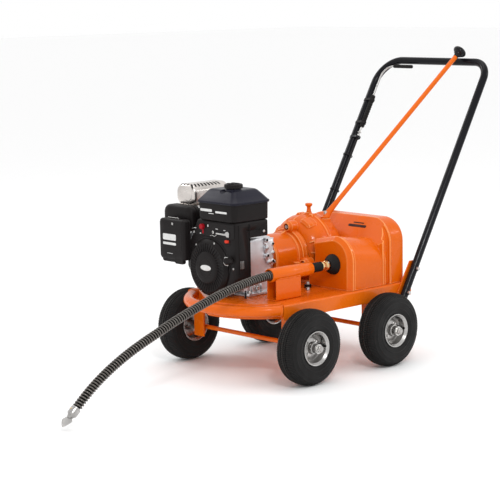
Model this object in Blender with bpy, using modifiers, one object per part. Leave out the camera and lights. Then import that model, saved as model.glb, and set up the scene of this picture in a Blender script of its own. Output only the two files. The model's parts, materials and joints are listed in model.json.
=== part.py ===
"""Drain snake machine: a petrol-engined sectional drain cleaner on a four-wheel cart.

Metres, +Z up, the engine at the -X end and the handle at the +X end.  The operator stands behind
the handle, so "left" is -Y.  The origin is on the floor at the middle of the machine's whole
length; everything hangs on one empty, cart, at the middle of the wheelbase.
"""
import math

import bmesh
import bpy
from mathutils import Matrix, Vector

# ---- driving dimensions -------------------------------------------------------------------
GAP = 0.0003                    # clearance kept between pieces that touch
CART_X = -0.2160                # middle of the wheelbase, from the origin
WHEELBASE = 0.405
TRACK = 0.620
TYRE_RADIUS = 0.1325            # 4.10/3.50-4 pneumatic tyre
RIM_BORE = 0.0083
AXLE_RADIUS = 0.008
DECK_TOP = 0.276
DECK_SIDE = 0.2475              # half width of the deck over its skirts
DECK_SKIRT = 0.052
DECK_FRONT = -0.25
DECK_REAR = 0.405
SHEET = 0.004
RAIL_RADIUS = 0.020
RAIL_APEX = -0.385
LEG_BOTTOM = 0.100
HANDLE_FOOT_X = 0.200           # the legs lean: x = HANDLE_FOOT_X + HANDLE_LEAN * z
HANDLE_LEAN = 0.59
HANDLE_SIDE = 0.268
HANDLE_BOTTOM = 0.226
HANDLE_TOP = 1.056
HANDLE_RADIUS = 0.0143
CRANK_Y = 0.070                 # crankshaft line, along X
CRANK_Z = 0.381
CRANK_RADIUS = 0.0127
CASE_Z = 0.393                  # middle of the gear case
CASE_RADIUS = 0.125
BREATHER_AT = (0.181, 0.062)
LAY_Y = 0.020                   # layshaft line inside the gear case
LAY_Z = 0.4335
SPINDLE_Y = -0.152              # cable line, along X
SPINDLE_Z = 0.366
SPINDLE_RADIUS = 0.0125
COVER_LEFT = -0.235
COVER_RIGHT = 0.195
COVER_FRONT = 0.085             # front face of the low nose that the spindle comes out of
COVER_STEP = 0.250              # front face of the tall hood
COVER_REAR = 0.380
COVER_TOP = 0.512
NOSE_RIGHT = -0.030
NOSE_TOP = 0.467
CABLE_RADIUS = 0.016            # 1 1/4 inch sectional cable
SHIFT_PIVOT = Vector((0.205, 0.0, 0.5085))
SHIFT_TOP = Vector((0.784, -0.1365, 1.077))
PINION_TEETH = 8
GEAR_TEETH = 16
GEAR_MODULE = 0.0060
SPROCKET_X = 0.3005
SPROCKET_SMALL = 0.034
SPROCKET_LARGE = 0.060

# ---- scene and materials --------------------------------------------------------------------
for old in list(bpy.data.objects):
    bpy.data.objects.remove(old, do_unlink=True)
PARTS = bpy.data.collections.new("drain_snake_machine")
CUTTERS = bpy.data.collections.new("cutters")
for group in (PARTS, CUTTERS):
    bpy.context.scene.collection.children.link(group)
CART = bpy.data.objects.new("cart", None)
CART.location = (CART_X, 0, 0)
PARTS.objects.link(CART)

# colour, roughness, metallic
PAINTS = {
    "orange": ((0.86, 0.20, 0.02), 0.35, 0.0),
    "black_paint": ((0.015, 0.015, 0.018), 0.30, 0.0),
    "black_plastic": ((0.020, 0.020, 0.022), 0.55, 0.0),
    "rubber": ((0.025, 0.025, 0.027), 0.85, 0.0),
    "aluminium": ((0.60, 0.60, 0.62), 0.45, 1.0),
    "steel": ((0.45, 0.45, 0.46), 0.35, 1.0),
    "zinc": ((0.66, 0.66, 0.68), 0.30, 1.0),
    "brass": ((0.75, 0.55, 0.25), 0.30, 1.0),
    "red_plastic": ((0.60, 0.02, 0.02), 0.40, 0.0),
}


def paint(obj, colour):
    """Give an object a material of its own in one of the machine's finishes."""
    rgb, roughness, metallic = PAINTS[colour]
    mat = bpy.data.materials.new(obj.name)
    mat.use_nodes = True
    shader = mat.node_tree.nodes["Principled BSDF"]
    shader.inputs["Base Color"].default_value = (*rgb, 1)
    shader.inputs["Roughness"].default_value = roughness
    shader.inputs["Metallic"].default_value = metallic
    obj.data.materials.clear()
    obj.data.materials.append(mat)


def place(obj, colour, at=(0, 0, 0), turn=(0, 0, 0)):
    """Link an object under the cart: a part when it has a colour, else a cutter."""
    obj.location = at
    obj.rotation_euler = turn
    obj.parent = CART
    if colour is None:
        CUTTERS.objects.link(obj)
        obj.hide_render = True
        obj.display_type = "WIRE"
    else:
        PARTS.objects.link(obj)
        paint(obj, colour)
    return obj


# ---- shape helpers --------------------------------------------------------------------------
TURN = {"Z": (0, 0, 0), "X": (0, math.pi / 2, 0), "Y": (-math.pi / 2, 0, 0)}
PLANE = {"XY": (0, 0, 0), "XZ": (math.pi / 2, 0, 0), "YZ": (math.pi / 2, 0, math.pi / 2)}


def mesh_object(name, bm, colour, at=(0, 0, 0), turn=(0, 0, 0), smooth=True):
    mesh = bpy.data.meshes.new(name)
    bm.to_mesh(mesh)
    bm.free()
    if smooth:
        mesh.shade_smooth()
        mesh.set_sharp_from_angle(angle=math.radians(35))
    return place(bpy.data.objects.new(name, mesh), colour, at, turn)


def box(name, low, high, colour, bevel=0.0):
    """A block between two corners, its origin at its middle."""
    low, high = Vector(low), Vector(high)
    bm = bmesh.new()
    bmesh.ops.create_cube(bm, size=1.0, matrix=Matrix.Diagonal((high - low).to_4d()))
    obj = mesh_object(name, bm, colour, (low + high) / 2, smooth=False)
    if bevel:
        mod = obj.modifiers.new("edges", "BEVEL")
        mod.width = bevel
        mod.segments = 2
        mod.limit_method = "ANGLE"
    return obj


def lathe(name, profile, colour, axis, at, steps=32, ring=False):
    """Turn a profile of (along, radius) points about an axis.  A ring's profile is a closed loop."""
    points = list(profile)
    area = sum(a[1] * b[0] - b[1] * a[0] for a, b in zip(points, points[1:] + points[:1]))
    if area > 0:
        points.reverse()
    bm = bmesh.new()
    verts = [bm.verts.new((radius, 0, along)) for along, radius in points]
    pairs = list(zip(verts, verts[1:] + verts[:1])) if ring else list(zip(verts, verts[1:]))
    for a, b in pairs:
        bm.edges.new((a, b))
    obj = mesh_object(name, bm, colour, at, TURN[axis], smooth=False)
    mod = obj.modifiers.new("turned", "SCREW")
    mod.axis = "Z"
    mod.steps = mod.render_steps = steps
    mod.use_merge_vertices = True
    mod.merge_threshold = 0.00001
    return obj


def aim(obj, direction):
    """Turn an object so that its own Z points along a direction."""
    obj.rotation_euler = Vector(direction).to_track_quat("Z", "Y").to_euler()
    return obj


def rod(name, start, end, radius, colour, sides=16):
    """A plain round bar between two points."""
    start, end = Vector(start), Vector(end)
    bm = bmesh.new()
    bmesh.ops.create_cone(bm, cap_ends=True, segments=sides, radius1=radius, radius2=radius,
                          depth=(end - start).length)
    obj = mesh_object(name, bm, colour, (start + end) / 2)
    return aim(obj, end - start)


def wire(name, points, radius, colour, resolution=2):
    """A tube along a run of points, with filled ends."""
    curve = bpy.data.curves.new(name, "CURVE")
    curve.dimensions = "3D"
    curve.bevel_depth = radius
    curve.bevel_resolution = resolution
    curve.use_fill_caps = True
    spline = curve.splines.new("POLY")
    spline.points.add(len(points) - 1)
    for target, point in zip(spline.points, points):
        target.co = (*point, 1)
    return place(bpy.data.objects.new(name, curve), colour)


def solid(curve_object, colour):
    """Replace a curve object by the mesh it makes, so that it can be cut or joined."""
    name, matrix = curve_object.name, curve_object.matrix_basis.copy()
    graph = bpy.context.evaluated_depsgraph_get()
    mesh = bpy.data.meshes.new_from_object(curve_object.evaluated_get(graph))
    bpy.data.objects.remove(curve_object, do_unlink=True)
    bm = bmesh.new()
    bm.from_mesh(mesh)
    bmesh.ops.remove_doubles(bm, verts=bm.verts, dist=0.00001)
    bm.to_mesh(mesh)
    bm.free()
    obj = place(bpy.data.objects.new(name, mesh), colour)
    obj.matrix_basis = matrix
    return obj


def plate(name, outline, thickness, colour, plane, at=(0, 0, 0)):
    """A flat outline given a thickness, centred on its plane."""
    curve = bpy.data.curves.new(name, "CURVE")
    curve.dimensions = "2D"
    curve.fill_mode = "BOTH"
    curve.extrude = thickness / 2
    spline = curve.splines.new("POLY")
    spline.use_cyclic_u = True
    spline.points.add(len(outline) - 1)
    for target, (u, v) in zip(spline.points, outline):
        target.co = (u, v, 0, 1)
    return solid(place(bpy.data.objects.new(name, curve), colour, at, PLANE[plane]), colour)


def loft(name, rings, colour, at=(0, 0, 0)):
    """Skin a row of closed rings with the same number of points, and close both ends."""
    bm = bmesh.new()
    rows = [[bm.verts.new(point) for point in ring] for ring in rings]
    for low, high in zip(rows, rows[1:]):
        for i in range(len(low)):
            j = (i + 1) % len(low)
            bm.faces.new((low[i], low[j], high[j], high[i]))
    bm.faces.new(rows[0])
    bm.faces.new(rows[-1])
    bmesh.ops.recalc_face_normals(bm, faces=bm.faces)
    return mesh_object(name, bm, colour, at)


def combine(obj, other, operation):
    mod = obj.modifiers.new(operation.lower(), "BOOLEAN")
    mod.operation = operation
    mod.solver = "EXACT"
    mod.object = other
    return obj


def cut(obj, *tools):
    for tool in tools:
        combine(obj, tool, "DIFFERENCE")
    return obj


def fuse(obj, *others):
    for other in others:
        combine(obj, other, "UNION")
    return obj


def arc(centre, radius, start, end, steps):
    """Points on a circle in a plane, angles in degrees."""
    points = []
    for i in range(steps + 1):
        angle = math.radians(start + (end - start) * i / steps)
        points.append((centre[0] + radius * math.cos(angle), centre[1] + radius * math.sin(angle)))
    return points


def round_rect(low, high, radius, steps=3):
    """A rectangle between two corners, its own corners rounded."""
    (x0, y0), (x1, y1) = low, high
    r = radius
    return (arc((x1 - r, y1 - r), r, 0, 90, steps) + arc((x0 + r, y1 - r), r, 90, 180, steps)
            + arc((x0 + r, y0 + r), r, 180, 270, steps) + arc((x1 - r, y0 + r), r, 270, 360, steps))


def rounded_path(points, radii, steps=5):
    """A run of straight lines in space whose inner corners are arcs."""
    points = [Vector(p) for p in points]
    path = [points[0]]
    for before, corner, after, radius in zip(points, points[1:], points[2:], radii):
        back, ahead = (before - corner).normalized(), (after - corner).normalized()
        half = back.angle(ahead) / 2
        reach = radius / math.tan(half)
        centre = corner + (back + ahead).normalized() * radius / math.sin(half)
        first = corner + back * reach - centre
        last = corner + ahead * reach - centre
        for i in range(steps + 1):
            path.append(centre + first.slerp(last, i / steps) * radius)
    path.append(points[-1])
    return path


def gear_outline(teeth, module, phase):
    """A toothed wheel's outline: straight-sided teeth, narrow enough to turn freely in mesh."""
    pitch = teeth * module / 2
    step = 2 * math.pi / teeth
    outline = []
    for i in range(teeth):
        centre = phase + i * step
        for offset, radius in ((-0.36, pitch - 1.2 * module), (-0.13, pitch + 0.75 * module),
                               (0.13, pitch + 0.75 * module), (0.36, pitch - 1.2 * module)):
            angle = centre + offset * step
            outline.append((radius * math.cos(angle), radius * math.sin(angle)))
    return outline


# ---- running gear ---------------------------------------------------------------------------
CORNERS = [("front_left", -1, -1), ("front_right", -1, 1), ("rear_left", 1, -1), ("rear_right", 1, 1)]


def mirrored(half):
    """A profile and its mirror image, as one run from one side to the other."""
    return half + [(-along, radius) for along, radius in reversed(half)]


def tyre(name, at):
    outer = mirrored([(0.0325, 0.0540), (0.0410, 0.0700), (0.0420, 0.0980), (0.0340, 0.1240),
                      (0.0140, TYRE_RADIUS)])
    inner = mirrored([(0.0265, 0.0540), (0.0350, 0.0900), (0.0230, 0.1190)])
    lathe(name, outer + inner[::-1], "rubber", "Y", at, steps=20, ring=True)


def rim(name, at, side):
    """Pressed steel wheel welded to its hub: the dish opens outwards."""
    profile = [(0.0380, 0.0590), (0.0330, 0.0530), (-0.0330, 0.0530), (-0.0380, 0.0590), (-0.0400, 0.0575),
               (-0.0350, 0.0500), (-0.0020, 0.0490), (0.0030, 0.0165), (-0.0540, 0.0165), (-0.0540, RIM_BORE),
               (0.0460, RIM_BORE), (0.0460, 0.0165), (0.0100, 0.0165), (0.0020, 0.0490), (0.0350, 0.0500),
               (0.0400, 0.0575)]
    lathe(name, [(side * along, radius) for along, radius in profile], "zinc", "Y", at, steps=16, ring=True)


def wheels():
    bore = (AXLE_RADIUS + GAP) / math.cos(math.pi / 6)
    nut = [(-0.0057, bore), (-0.0057, 0.0130), (0.0050, 0.0130), (0.0070, 0.0110), (0.0070, bore)]
    for corner, end, side in CORNERS:
        at = (end * WHEELBASE / 2, side * TRACK / 2, TYRE_RADIUS)
        tyre("tyre_" + corner, at)
        rim("rim_" + corner, at, side)
        nut_at = (at[0], side * (TRACK / 2 + 0.0520), TYRE_RADIUS)
        lathe("axle_nut_" + corner, [(side * along, radius) for along, radius in nut],
              "zinc", "Y", nut_at, steps=6, ring=True)


def axles():
    reach = TRACK / 2 + 0.0610
    for end, x in (("front", -WHEELBASE / 2), ("rear", WHEELBASE / 2)):
        profile = [(-reach, 0), (-reach, AXLE_RADIUS - 0.001), (-reach + 0.002, AXLE_RADIUS),
                   (reach - 0.002, AXLE_RADIUS), (reach, AXLE_RADIUS - 0.001), (reach, 0)]
        lathe(end + "_axle", profile, "orange", "Y", (x, 0, TYRE_RADIUS), steps=20)


def legs():
    """Angle irons under the deck: a web across the cart, and an outer flange for the axle."""
    web = 0.051
    thick = 0.006
    outer = 0.2535
    for corner, end, side in CORNERS:
        x0 = end * WHEELBASE / 2 - 0.025
        outline = [(x0, 0), (x0 + 0.050, 0), (x0 + 0.050, -thick), (x0 + thick, -thick),
                   (x0 + thick, -web), (x0, -web)]
        outline = [(x, side * (outer + y)) for x, y in outline]
        height = DECK_TOP - DECK_SKIRT - GAP - LEG_BOTTOM
        leg = plate("leg_" + corner, outline, height, "orange", "XY", (0, 0, LEG_BOTTOM + height / 2))
        hole = rod("leg_hole_" + corner, (x0 + 0.025, side * 0.24, TYRE_RADIUS),
                   (x0 + 0.025, side * 0.27, TYRE_RADIUS), AXLE_RADIUS + GAP, None, sides=20)
        cut(leg, hole)


# ---- deck -----------------------------------------------------------------------------------
def bow(inside, past_end, steps):
    """The curved front: an arc some way inside the rail's own line, run a little past its ends."""
    corner = DECK_SIDE - RAIL_RADIUS
    rise = DECK_FRONT - RAIL_APEX
    radius = (corner * corner + rise * rise) / (2 * rise)
    sweep = math.degrees(math.asin(corner / radius) + past_end / radius)
    return arc((RAIL_APEX + radius, 0), radius - inside, 180 - sweep, 180 + sweep, steps)


def deck():
    """Folded tray, open below, and the rolled tube across its bowed front."""
    def outline(inset):
        side = DECK_SIDE - inset
        front = bow(RAIL_RADIUS + 4 * GAP + inset, 0.002 + inset, 12)
        corner = DECK_FRONT - 0.008 + 1.2 * inset
        return ([(DECK_REAR - inset, -side), (DECK_REAR - inset, side), (corner, side)] + front
                + [(corner, -side)])
    pan = plate("deck_pan", outline(0), DECK_SKIRT, "orange", "XY", (0, 0, DECK_TOP - DECK_SKIRT / 2))
    hollow = plate("deck_hollow", outline(SHEET), DECK_SKIRT, None, "XY",
                   (0, 0, DECK_TOP - SHEET - DECK_SKIRT / 2))
    cut(pan, hollow)
    rail_z = DECK_TOP - RAIL_RADIUS - 0.001
    wire("front_rail", [(x, y, rail_z) for x, y in bow(0, 0, 16)], RAIL_RADIUS, "orange", 3)


# ---- handle and its controls ----------------------------------------------------------------
def on_legs(y, z, ahead=0.0):
    """A point in the leaning plane of the handle, or some way ahead of it."""
    lean = Vector((HANDLE_LEAN, 0, 1)).normalized()
    ahead_of = Vector((-lean.z, 0, lean.x))
    return Vector((HANDLE_FOOT_X + HANDLE_LEAN * z, y, z)) + ahead_of * ahead


def handle():
    corners = [on_legs(-HANDLE_SIDE, HANDLE_BOTTOM), on_legs(-HANDLE_SIDE, HANDLE_TOP),
               on_legs(HANDLE_SIDE, HANDLE_TOP), on_legs(HANDLE_SIDE, HANDLE_BOTTOM)]
    wire("handle_bar", rounded_path(corners, (0.068, 0.105), steps=7), HANDLE_RADIUS, "black_paint", 3)
    low, high = 0.229, 0.352
    for side, hand in ((-1, "left"), (1, "right")):
        outline = [(HANDLE_FOOT_X + HANDLE_LEAN * z + shift, z)
                   for z, shift in ((low, -0.026), (low, 0.018), (high, 0.018), (high, -0.022))]
        thickness = HANDLE_SIDE - HANDLE_RADIUS - DECK_SIDE - 2 * GAP
        middle = side * (DECK_SIDE + GAP + thickness / 2)
        plate("handle_bracket_" + hand, outline, thickness, "orange", "XZ", (0, middle, 0))


CONTROL_Y = 0.2385              # the throttle rod's line beside the right leg
CONTROL_AHEAD = 0.010
CONTROL_Z = 1.029
CONTROL_RADIUS = 0.0035


def beside_leg(z):
    return on_legs(CONTROL_Y, z, CONTROL_AHEAD)


def handle_control():
    """Hold-to-run throttle: a bent rod slides in a sleeve on the right leg and pulls a sheathed cable."""
    along_leg = (HANDLE_LEAN, 0, 1)
    bend = 0.048
    rod_end = on_legs(0.0965, CONTROL_Z, CONTROL_AHEAD)
    pivot = beside_leg(0.900)
    path = rounded_path([beside_leg(0.772), beside_leg(CONTROL_Z), rod_end], (bend,), steps=5)
    lever = solid(wire("control_lever", [p - pivot for p in path], CONTROL_RADIUS, None), "zinc")
    lever.location = pivot
    stop = box("control_stop", (-0.007, -0.007, -0.002), (0.007, 0.007, 0.002), None)
    stop.location = beside_leg(0.775)
    fuse(lever, aim(stop, along_leg))

    grip_start = on_legs(CONTROL_Y - bend - 0.002, CONTROL_Z, CONTROL_AHEAD)
    length = (grip_start - rod_end).length + 0.0025
    grip = lathe("control_grip", [(length - 0.002, 0.0), (length - 0.002, CONTROL_RADIUS + GAP),
                                  (0.0, CONTROL_RADIUS + GAP), (0.0, 0.0070), (length - 0.003, 0.0070),
                                  (length, 0.0050), (length, 0.0)], "rubber", "Y", grip_start, steps=16)
    grip.rotation_euler = (math.pi / 2, 0, 0)

    low, high = beside_leg(0.795), beside_leg(0.915)
    tall = (high - low).length
    bore = CONTROL_RADIUS + 2 * GAP
    sleeve = lathe("control_sleeve", [(0, bore), (0, 0.0095), (tall, 0.0095), (tall, bore)],
                   "black_plastic", "Z", low, steps=16, ring=True)
    aim(sleeve, along_leg)
    reach = HANDLE_SIDE - CONTROL_Y - HANDLE_RADIUS + 0.001
    lug = box("sleeve_lug", (0.006, -0.004, 0.0), (reach, 0.004, 0.020), None)
    lug.location = (low + high) / 2 + Vector((0, (reach + 0.006) / 2, 0))
    fuse(sleeve, aim(lug, along_leg))

    carburettor = Vector((-0.2470 + GAP, 0.205, 0.555))
    run = [beside_leg(0.768), beside_leg(0.330), Vector((0.310, 0.226, DECK_TOP + 0.012)),
           Vector((-0.085, 0.226, DECK_TOP + 0.012)), Vector((-0.085, 0.205, 0.555)), carburettor]
    wire("control_cable", rounded_path(run, (0.10, 0.08, 0.05, 0.04), steps=5), 0.0040, "black_plastic")


def shift_lever():
    """Forward-neutral-reverse lever: it swings sideways about the upright shift shaft."""
    hub = lathe("shift_lever", [(0, 0.0075), (0, 0.0160), (0.006, 0.0160), (0.026, 0.0110), (0.026, 0.0075)],
                "orange", "Z", SHIFT_PIVOT, steps=20, ring=True)
    start = SHIFT_PIVOT + Vector((0.0130, -0.0030, 0.019))
    fuse(hub, rod("shift_lever_bar", start, SHIFT_TOP, 0.0080, None, sides=14))
    direction = (SHIFT_TOP - start).normalized()
    knob = lathe("shift_knob", [(0.0, 0.0), (0.0, 0.0090), (0.008, 0.0100), (0.014, 0.0165), (0.021, 0.0225),
                                (0.028, 0.0232), (0.035, 0.0195), (0.040, 0.0110), (0.041, 0.0)],
                 "black_plastic", "Z", SHIFT_TOP + direction * GAP, steps=20)
    aim(knob, direction)
    fork = lathe("shift_fork", [(-0.057, 0.0), (-0.057, 0.0070), (0.024, 0.0070), (0.024, 0.0)],
                 "steel", "Z", SHIFT_PIVOT, steps=16)
    prongs = box("shift_prongs", SHIFT_PIVOT + Vector((-0.005, 0.0, -0.056)),
                 SHIFT_PIVOT + Vector((0.005, 0.040, -0.048)), None)
    fuse(fork, prongs)


# ---- engine ---------------------------------------------------------------------------------
BLOCK_FRONT = -0.232
BLOCK_REAR = -0.0955
BLOCK_LEFT = -0.030
BLOCK_RIGHT = 0.165
CYLINDER_TILT = math.radians(25)


def cylinder_ring(along, half, radius):
    """A rounded square across the leaning cylinder, some way out from the crankshaft."""
    out = Vector((0, math.cos(CYLINDER_TILT), math.sin(CYLINDER_TILT)))
    up = Vector((0, -math.sin(CYLINDER_TILT), math.cos(CYLINDER_TILT)))
    centre = Vector(((BLOCK_FRONT + BLOCK_REAR) / 2, CRANK_Y, CRANK_Z)) + out * along
    outline = round_rect((-half, -half), (half, half), radius, 1)
    return [centre + Vector((u, 0, 0)) + up * v for u, v in outline]


def engine_block():
    foot = 0.011
    block = box("engine_block", (BLOCK_FRONT, BLOCK_LEFT, DECK_TOP + GAP), (BLOCK_REAR, BLOCK_RIGHT, 0.478),
                "aluminium", bevel=0.010)
    base = box("engine_foot", (BLOCK_FRONT - 0.006, BLOCK_LEFT - 0.016, DECK_TOP + GAP),
               (BLOCK_REAR + 0.016, BLOCK_RIGHT + 0.016, DECK_TOP + GAP + foot), None)
    barrel = loft("engine_barrel",
                  [cylinder_ring(0.060, 0.042, 0.010), cylinder_ring(0.1347, 0.042, 0.010)], None)
    cavity = rod("crank_cavity", (BLOCK_FRONT + 0.020, CRANK_Y, CRANK_Z),
                 (BLOCK_REAR + 0.01, CRANK_Y, CRANK_Z), 0.070, None, sides=24)
    bore = rod("crank_bore", (BLOCK_FRONT - 0.02, CRANK_Y, CRANK_Z), (BLOCK_REAR, CRANK_Y, CRANK_Z),
               CRANK_RADIUS + GAP, None, sides=20)
    fuse(block, base, barrel)
    cut(block, cavity, bore)


def cylinder_head():
    """Finned barrel and head, leaning out to the right of the crankcase."""
    rings = []
    fins = 6
    for i in range(fins):
        start = 0.135 + i * 0.013
        rings += [cylinder_ring(start, 0.038, 0.010), cylinder_ring(start + 0.008, 0.038, 0.010),
                  cylinder_ring(start + 0.008, 0.050, 0.010), cylinder_ring(start + 0.0125, 0.050, 0.010)]
    rings += [cylinder_ring(0.214, 0.044, 0.012), cylinder_ring(0.238, 0.040, 0.012)]
    loft("cylinder_head", rings, "aluminium")


def crank():
    """Crankshaft with its throws, the flywheel on its front end, and the clutch hub on its rear end."""
    front, rear = -0.296, -0.010
    profile = [(front, 0), (front, 0.0100), (-0.258, 0.0100), (-0.258, CRANK_RADIUS), (-0.200, CRANK_RADIUS),
               (-0.200, 0.0500), (-0.185, 0.0500), (-0.185, 0.0160), (-0.150, 0.0160), (-0.150, 0.0500),
               (-0.135, 0.0500), (-0.135, CRANK_RADIUS), (-0.040, CRANK_RADIUS), (-0.040, 0.0600),
               (rear, 0.0600), (rear, 0)]
    lathe("crankshaft", profile, "steel", "X", (0, CRANK_Y, CRANK_Z), steps=12)
    wheel = [(-0.290, 0.0100 + GAP), (-0.290, 0.0300), (-0.282, 0.0400), (-0.282, 0.0850),
             (-0.258 - GAP, 0.0880), (-0.258 - GAP, 0.0100 + GAP)]
    lathe("flywheel", wheel, "aluminium", "X", (0, CRANK_Y, CRANK_Z), steps=24, ring=True)


def engine_covers():
    cover = [(BLOCK_REAR + GAP, CRANK_RADIUS + GAP), (BLOCK_REAR + GAP, 0.0920), (-0.080, 0.0920),
             (-0.078, 0.0880), (-0.070, 0.0880), (-0.070, CRANK_RADIUS + GAP)]
    lathe("crankcase_cover", cover, "aluminium", "X", (0, CRANK_Y, CRANK_Z), steps=24, ring=True)

    front, back = -0.308, BLOCK_FRONT - 0.0065
    outline = [(0.132, 0.548), (0.190, 0.440), (0.190, 0.372), (0.100, 0.290), (0.036, 0.284),
               (-0.020, 0.305), (-0.070, 0.352), (-0.070, 0.548)]
    shroud = plate("blower_housing", outline, back - front, "black_plastic", "YZ", ((front + back) / 2, 0, 0))
    shelf = box("shroud_shelf", (back - 0.01, -0.070, 0.4900), (-0.155, 0.132, 0.5480), None)
    fan_room = rod("fan_room", (front + 0.004, CRANK_Y, CRANK_Z), (back + 0.02, CRANK_Y, CRANK_Z),
                   0.090, None, sides=32)
    under_shelf = box("under_shelf", (back - 0.002, -0.066, 0.4790), (-0.159, 0.128, 0.5440), None)
    mouth = rod("fan_mouth", (front - 0.02, CRANK_Y, CRANK_Z), (front + 0.02, CRANK_Y, CRANK_Z),
                0.075, None, sides=32)
    fuse(shroud, shelf)
    cut(shroud, fan_room, under_shelf, mouth)

    dome = [(-0.3220, 0.0), (-0.3220, 0.0500), (-0.3180, 0.0860), (-0.3120, 0.0970), (front - GAP, 0.0970),
            (front - GAP, 0.1010), (-0.3140, 0.1010), (-0.3230, 0.0900), (-0.3250, 0.0560), (-0.3280, 0.0500),
            (-0.3280, 0.0)]
    lathe("recoil_housing", dome, "black_plastic", "X", (0, CRANK_Y, CRANK_Z), steps=24)


PULL_AT = Vector((-0.3290, -0.0380, 0.4120))
PULL_WAY = Vector((-0.10, -0.88, 0.45)).normalized()


def pull_start_grip():
    """Starter grip resting on the recoil housing's edge: it pulls out up and to the left."""
    grip = lathe("pull_grip", [(0.0, 0.0), (0.0, 0.0060), (0.008, 0.0075), (0.010, 0.0190), (0.017, 0.0190),
                               (0.020, 0.0130), (0.020, 0.0)], "black_plastic", "Z", PULL_AT, steps=16)
    aim(grip, PULL_WAY)


TANK_LOW = (-0.316, -0.070)
TANK_HIGH = (-0.146, 0.121)
TANK_LEVELS = [(0.5485, 0.006, 0.016), (0.553, 0.0, 0.018), (0.610, -0.001, 0.018), (0.611, -0.006, 0.022),
               (0.617, -0.006, 0.022), (0.620, -0.002, 0.020), (0.652, 0.026, 0.014), (0.657, 0.034, 0.012)]
CAP_AT = (-0.262, -0.010)


def tank_rings(inset):
    """Tank sections from bottom to top: straight sides, a seam flange, and a faceted top."""
    rings = []
    for z, shrink, radius in TANK_LEVELS:
        low = (TANK_LOW[0] + shrink + inset, TANK_LOW[1] + shrink + inset)
        high = (TANK_HIGH[0] - shrink - inset, TANK_HIGH[1] - shrink - inset)
        rings.append([(x, y, z) for x, y in round_rect(low, high, max(radius - inset, 0.006), 2)])
    return rings


def fuel_tank():
    """Hollow tank with its filler neck and cap."""
    wall = 0.003
    tank = loft("fuel_tank", tank_rings(0), "black_plastic")
    inside = tank_rings(wall)
    lift = [wall] + [0] * (len(inside) - 2) + [-wall]
    inside = [[(x, y, z + up) for x, y, z in ring] for ring, up in zip(inside, lift)]
    hollow = loft("tank_hollow", inside, None)
    top = TANK_LEVELS[-1][0]
    neck = rod("tank_neck", (*CAP_AT, top - 0.03), (*CAP_AT, top + 0.02), 0.020, None, sides=24)
    collar = rod("tank_collar", (*CAP_AT, top - 0.004), (*CAP_AT, top + 0.004), 0.026, None, sides=24)
    fuse(tank, collar)
    cut(tank, hollow, neck)
    base = top + 0.004 + GAP
    cap = [(base, 0.0), (base, 0.0290), (base + 0.004, 0.0330), (base + 0.014, 0.0330),
           (base + 0.018, 0.0290), (base + 0.0185, 0.0)]
    lathe("fuel_cap", cap, "black_plastic", "Z", (*CAP_AT, 0), steps=28)


def muffler():
    """Silencer in its pressed guard, above the cylinder."""
    low_y, high_y, low_z, high_z = 0.218, 0.318, 0.576, 0.655
    rings = []
    for x, shrink in ((-0.245, 0.012), (-0.240, 0.004), (-0.232, 0.0),
                      (-0.080, 0.0), (-0.072, 0.004), (-0.067, 0.012)):
        outline = round_rect((low_y + shrink, low_z + shrink), (high_y - shrink, high_z - shrink), 0.020, 3)
        rings.append([(x, y, z) for y, z in outline])
    body = loft("muffler", rings, "zinc")
    pipe = rod("exhaust_pipe", (-0.150, 0.272, 0.526), (-0.150, 0.276, 0.600), 0.014, None, sides=16)
    tail = rod("tail_pipe", (-0.100, 0.286, 0.606), (-0.100, 0.338, 0.598), 0.010, None, sides=14)
    tail_bore = rod("tail_bore", (-0.100, 0.292, 0.605), (-0.100, 0.350, 0.596), 0.008, None, sides=14)
    fuse(body, pipe, tail)
    cut(body, tail_bore)


def air_cleaner():
    """Air cleaner beside the tank: a base box on the inlet, and a front cover that hangs over it."""
    rings = []
    for x, shrink in ((-0.2970, 0.010), (-0.2880, 0.0), (-0.2520, 0.0), (-0.2470, 0.006)):
        outline = round_rect((0.176 + shrink, 0.492 + shrink), (0.330 - shrink, 0.584 - shrink), 0.014, 2)
        rings.append([(x, y, z) for y, z in outline])
    base = loft("air_cleaner_base", rings, "black_plastic")
    inlet = rod("inlet_pipe", (-0.255, 0.215, 0.507), (-0.2145, 0.215, 0.507), 0.013, None, sides=16)
    fuse(base, inlet)

    front, back = -0.3400, -0.3085
    low, high = (0.168, 0.394), (0.305, 0.540)
    rings = []
    for x, shrink in ((front, 0.006), (front + 0.006, 0.0), (back, 0.0)):
        outline = round_rect((low[0] + shrink, low[1] + shrink),
                             (high[0] - shrink, high[1] - shrink), 0.012, 2)
        rings.append([(x, y, z) for y, z in outline])
    cover = loft("air_cleaner_cover", rings, "black_plastic")
    room = box("filter_room", (front + 0.004, low[0] + 0.004, low[1] + 0.004),
               (back + 0.01, high[0] - 0.004, high[1] - 0.004), None)
    tab = box("cover_tab", (front + 0.006, 0.182, low[1] - 0.013),
              (back - 0.004, 0.222, low[1] + 0.003), None)
    fuse(cover, tab)
    cut(cover, room)


def engine_controls():
    """Choke knob on its lever, and the red stop switch in the panel under the tank."""
    choke = rod("choke_lever", (-0.3086, 0.100, 0.524), (-0.3220, 0.100, 0.524), 0.0100, "red_plastic", sides=16)
    stem = box("choke_stem", (-0.3120, 0.098, 0.500), (-0.3090, 0.102, 0.524), None)
    fuse(choke, stem)
    box("stop_switch", (-0.3170, -0.033, 0.476), (-0.3083, -0.017, 0.486), "red_plastic", bevel=0.002)


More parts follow.
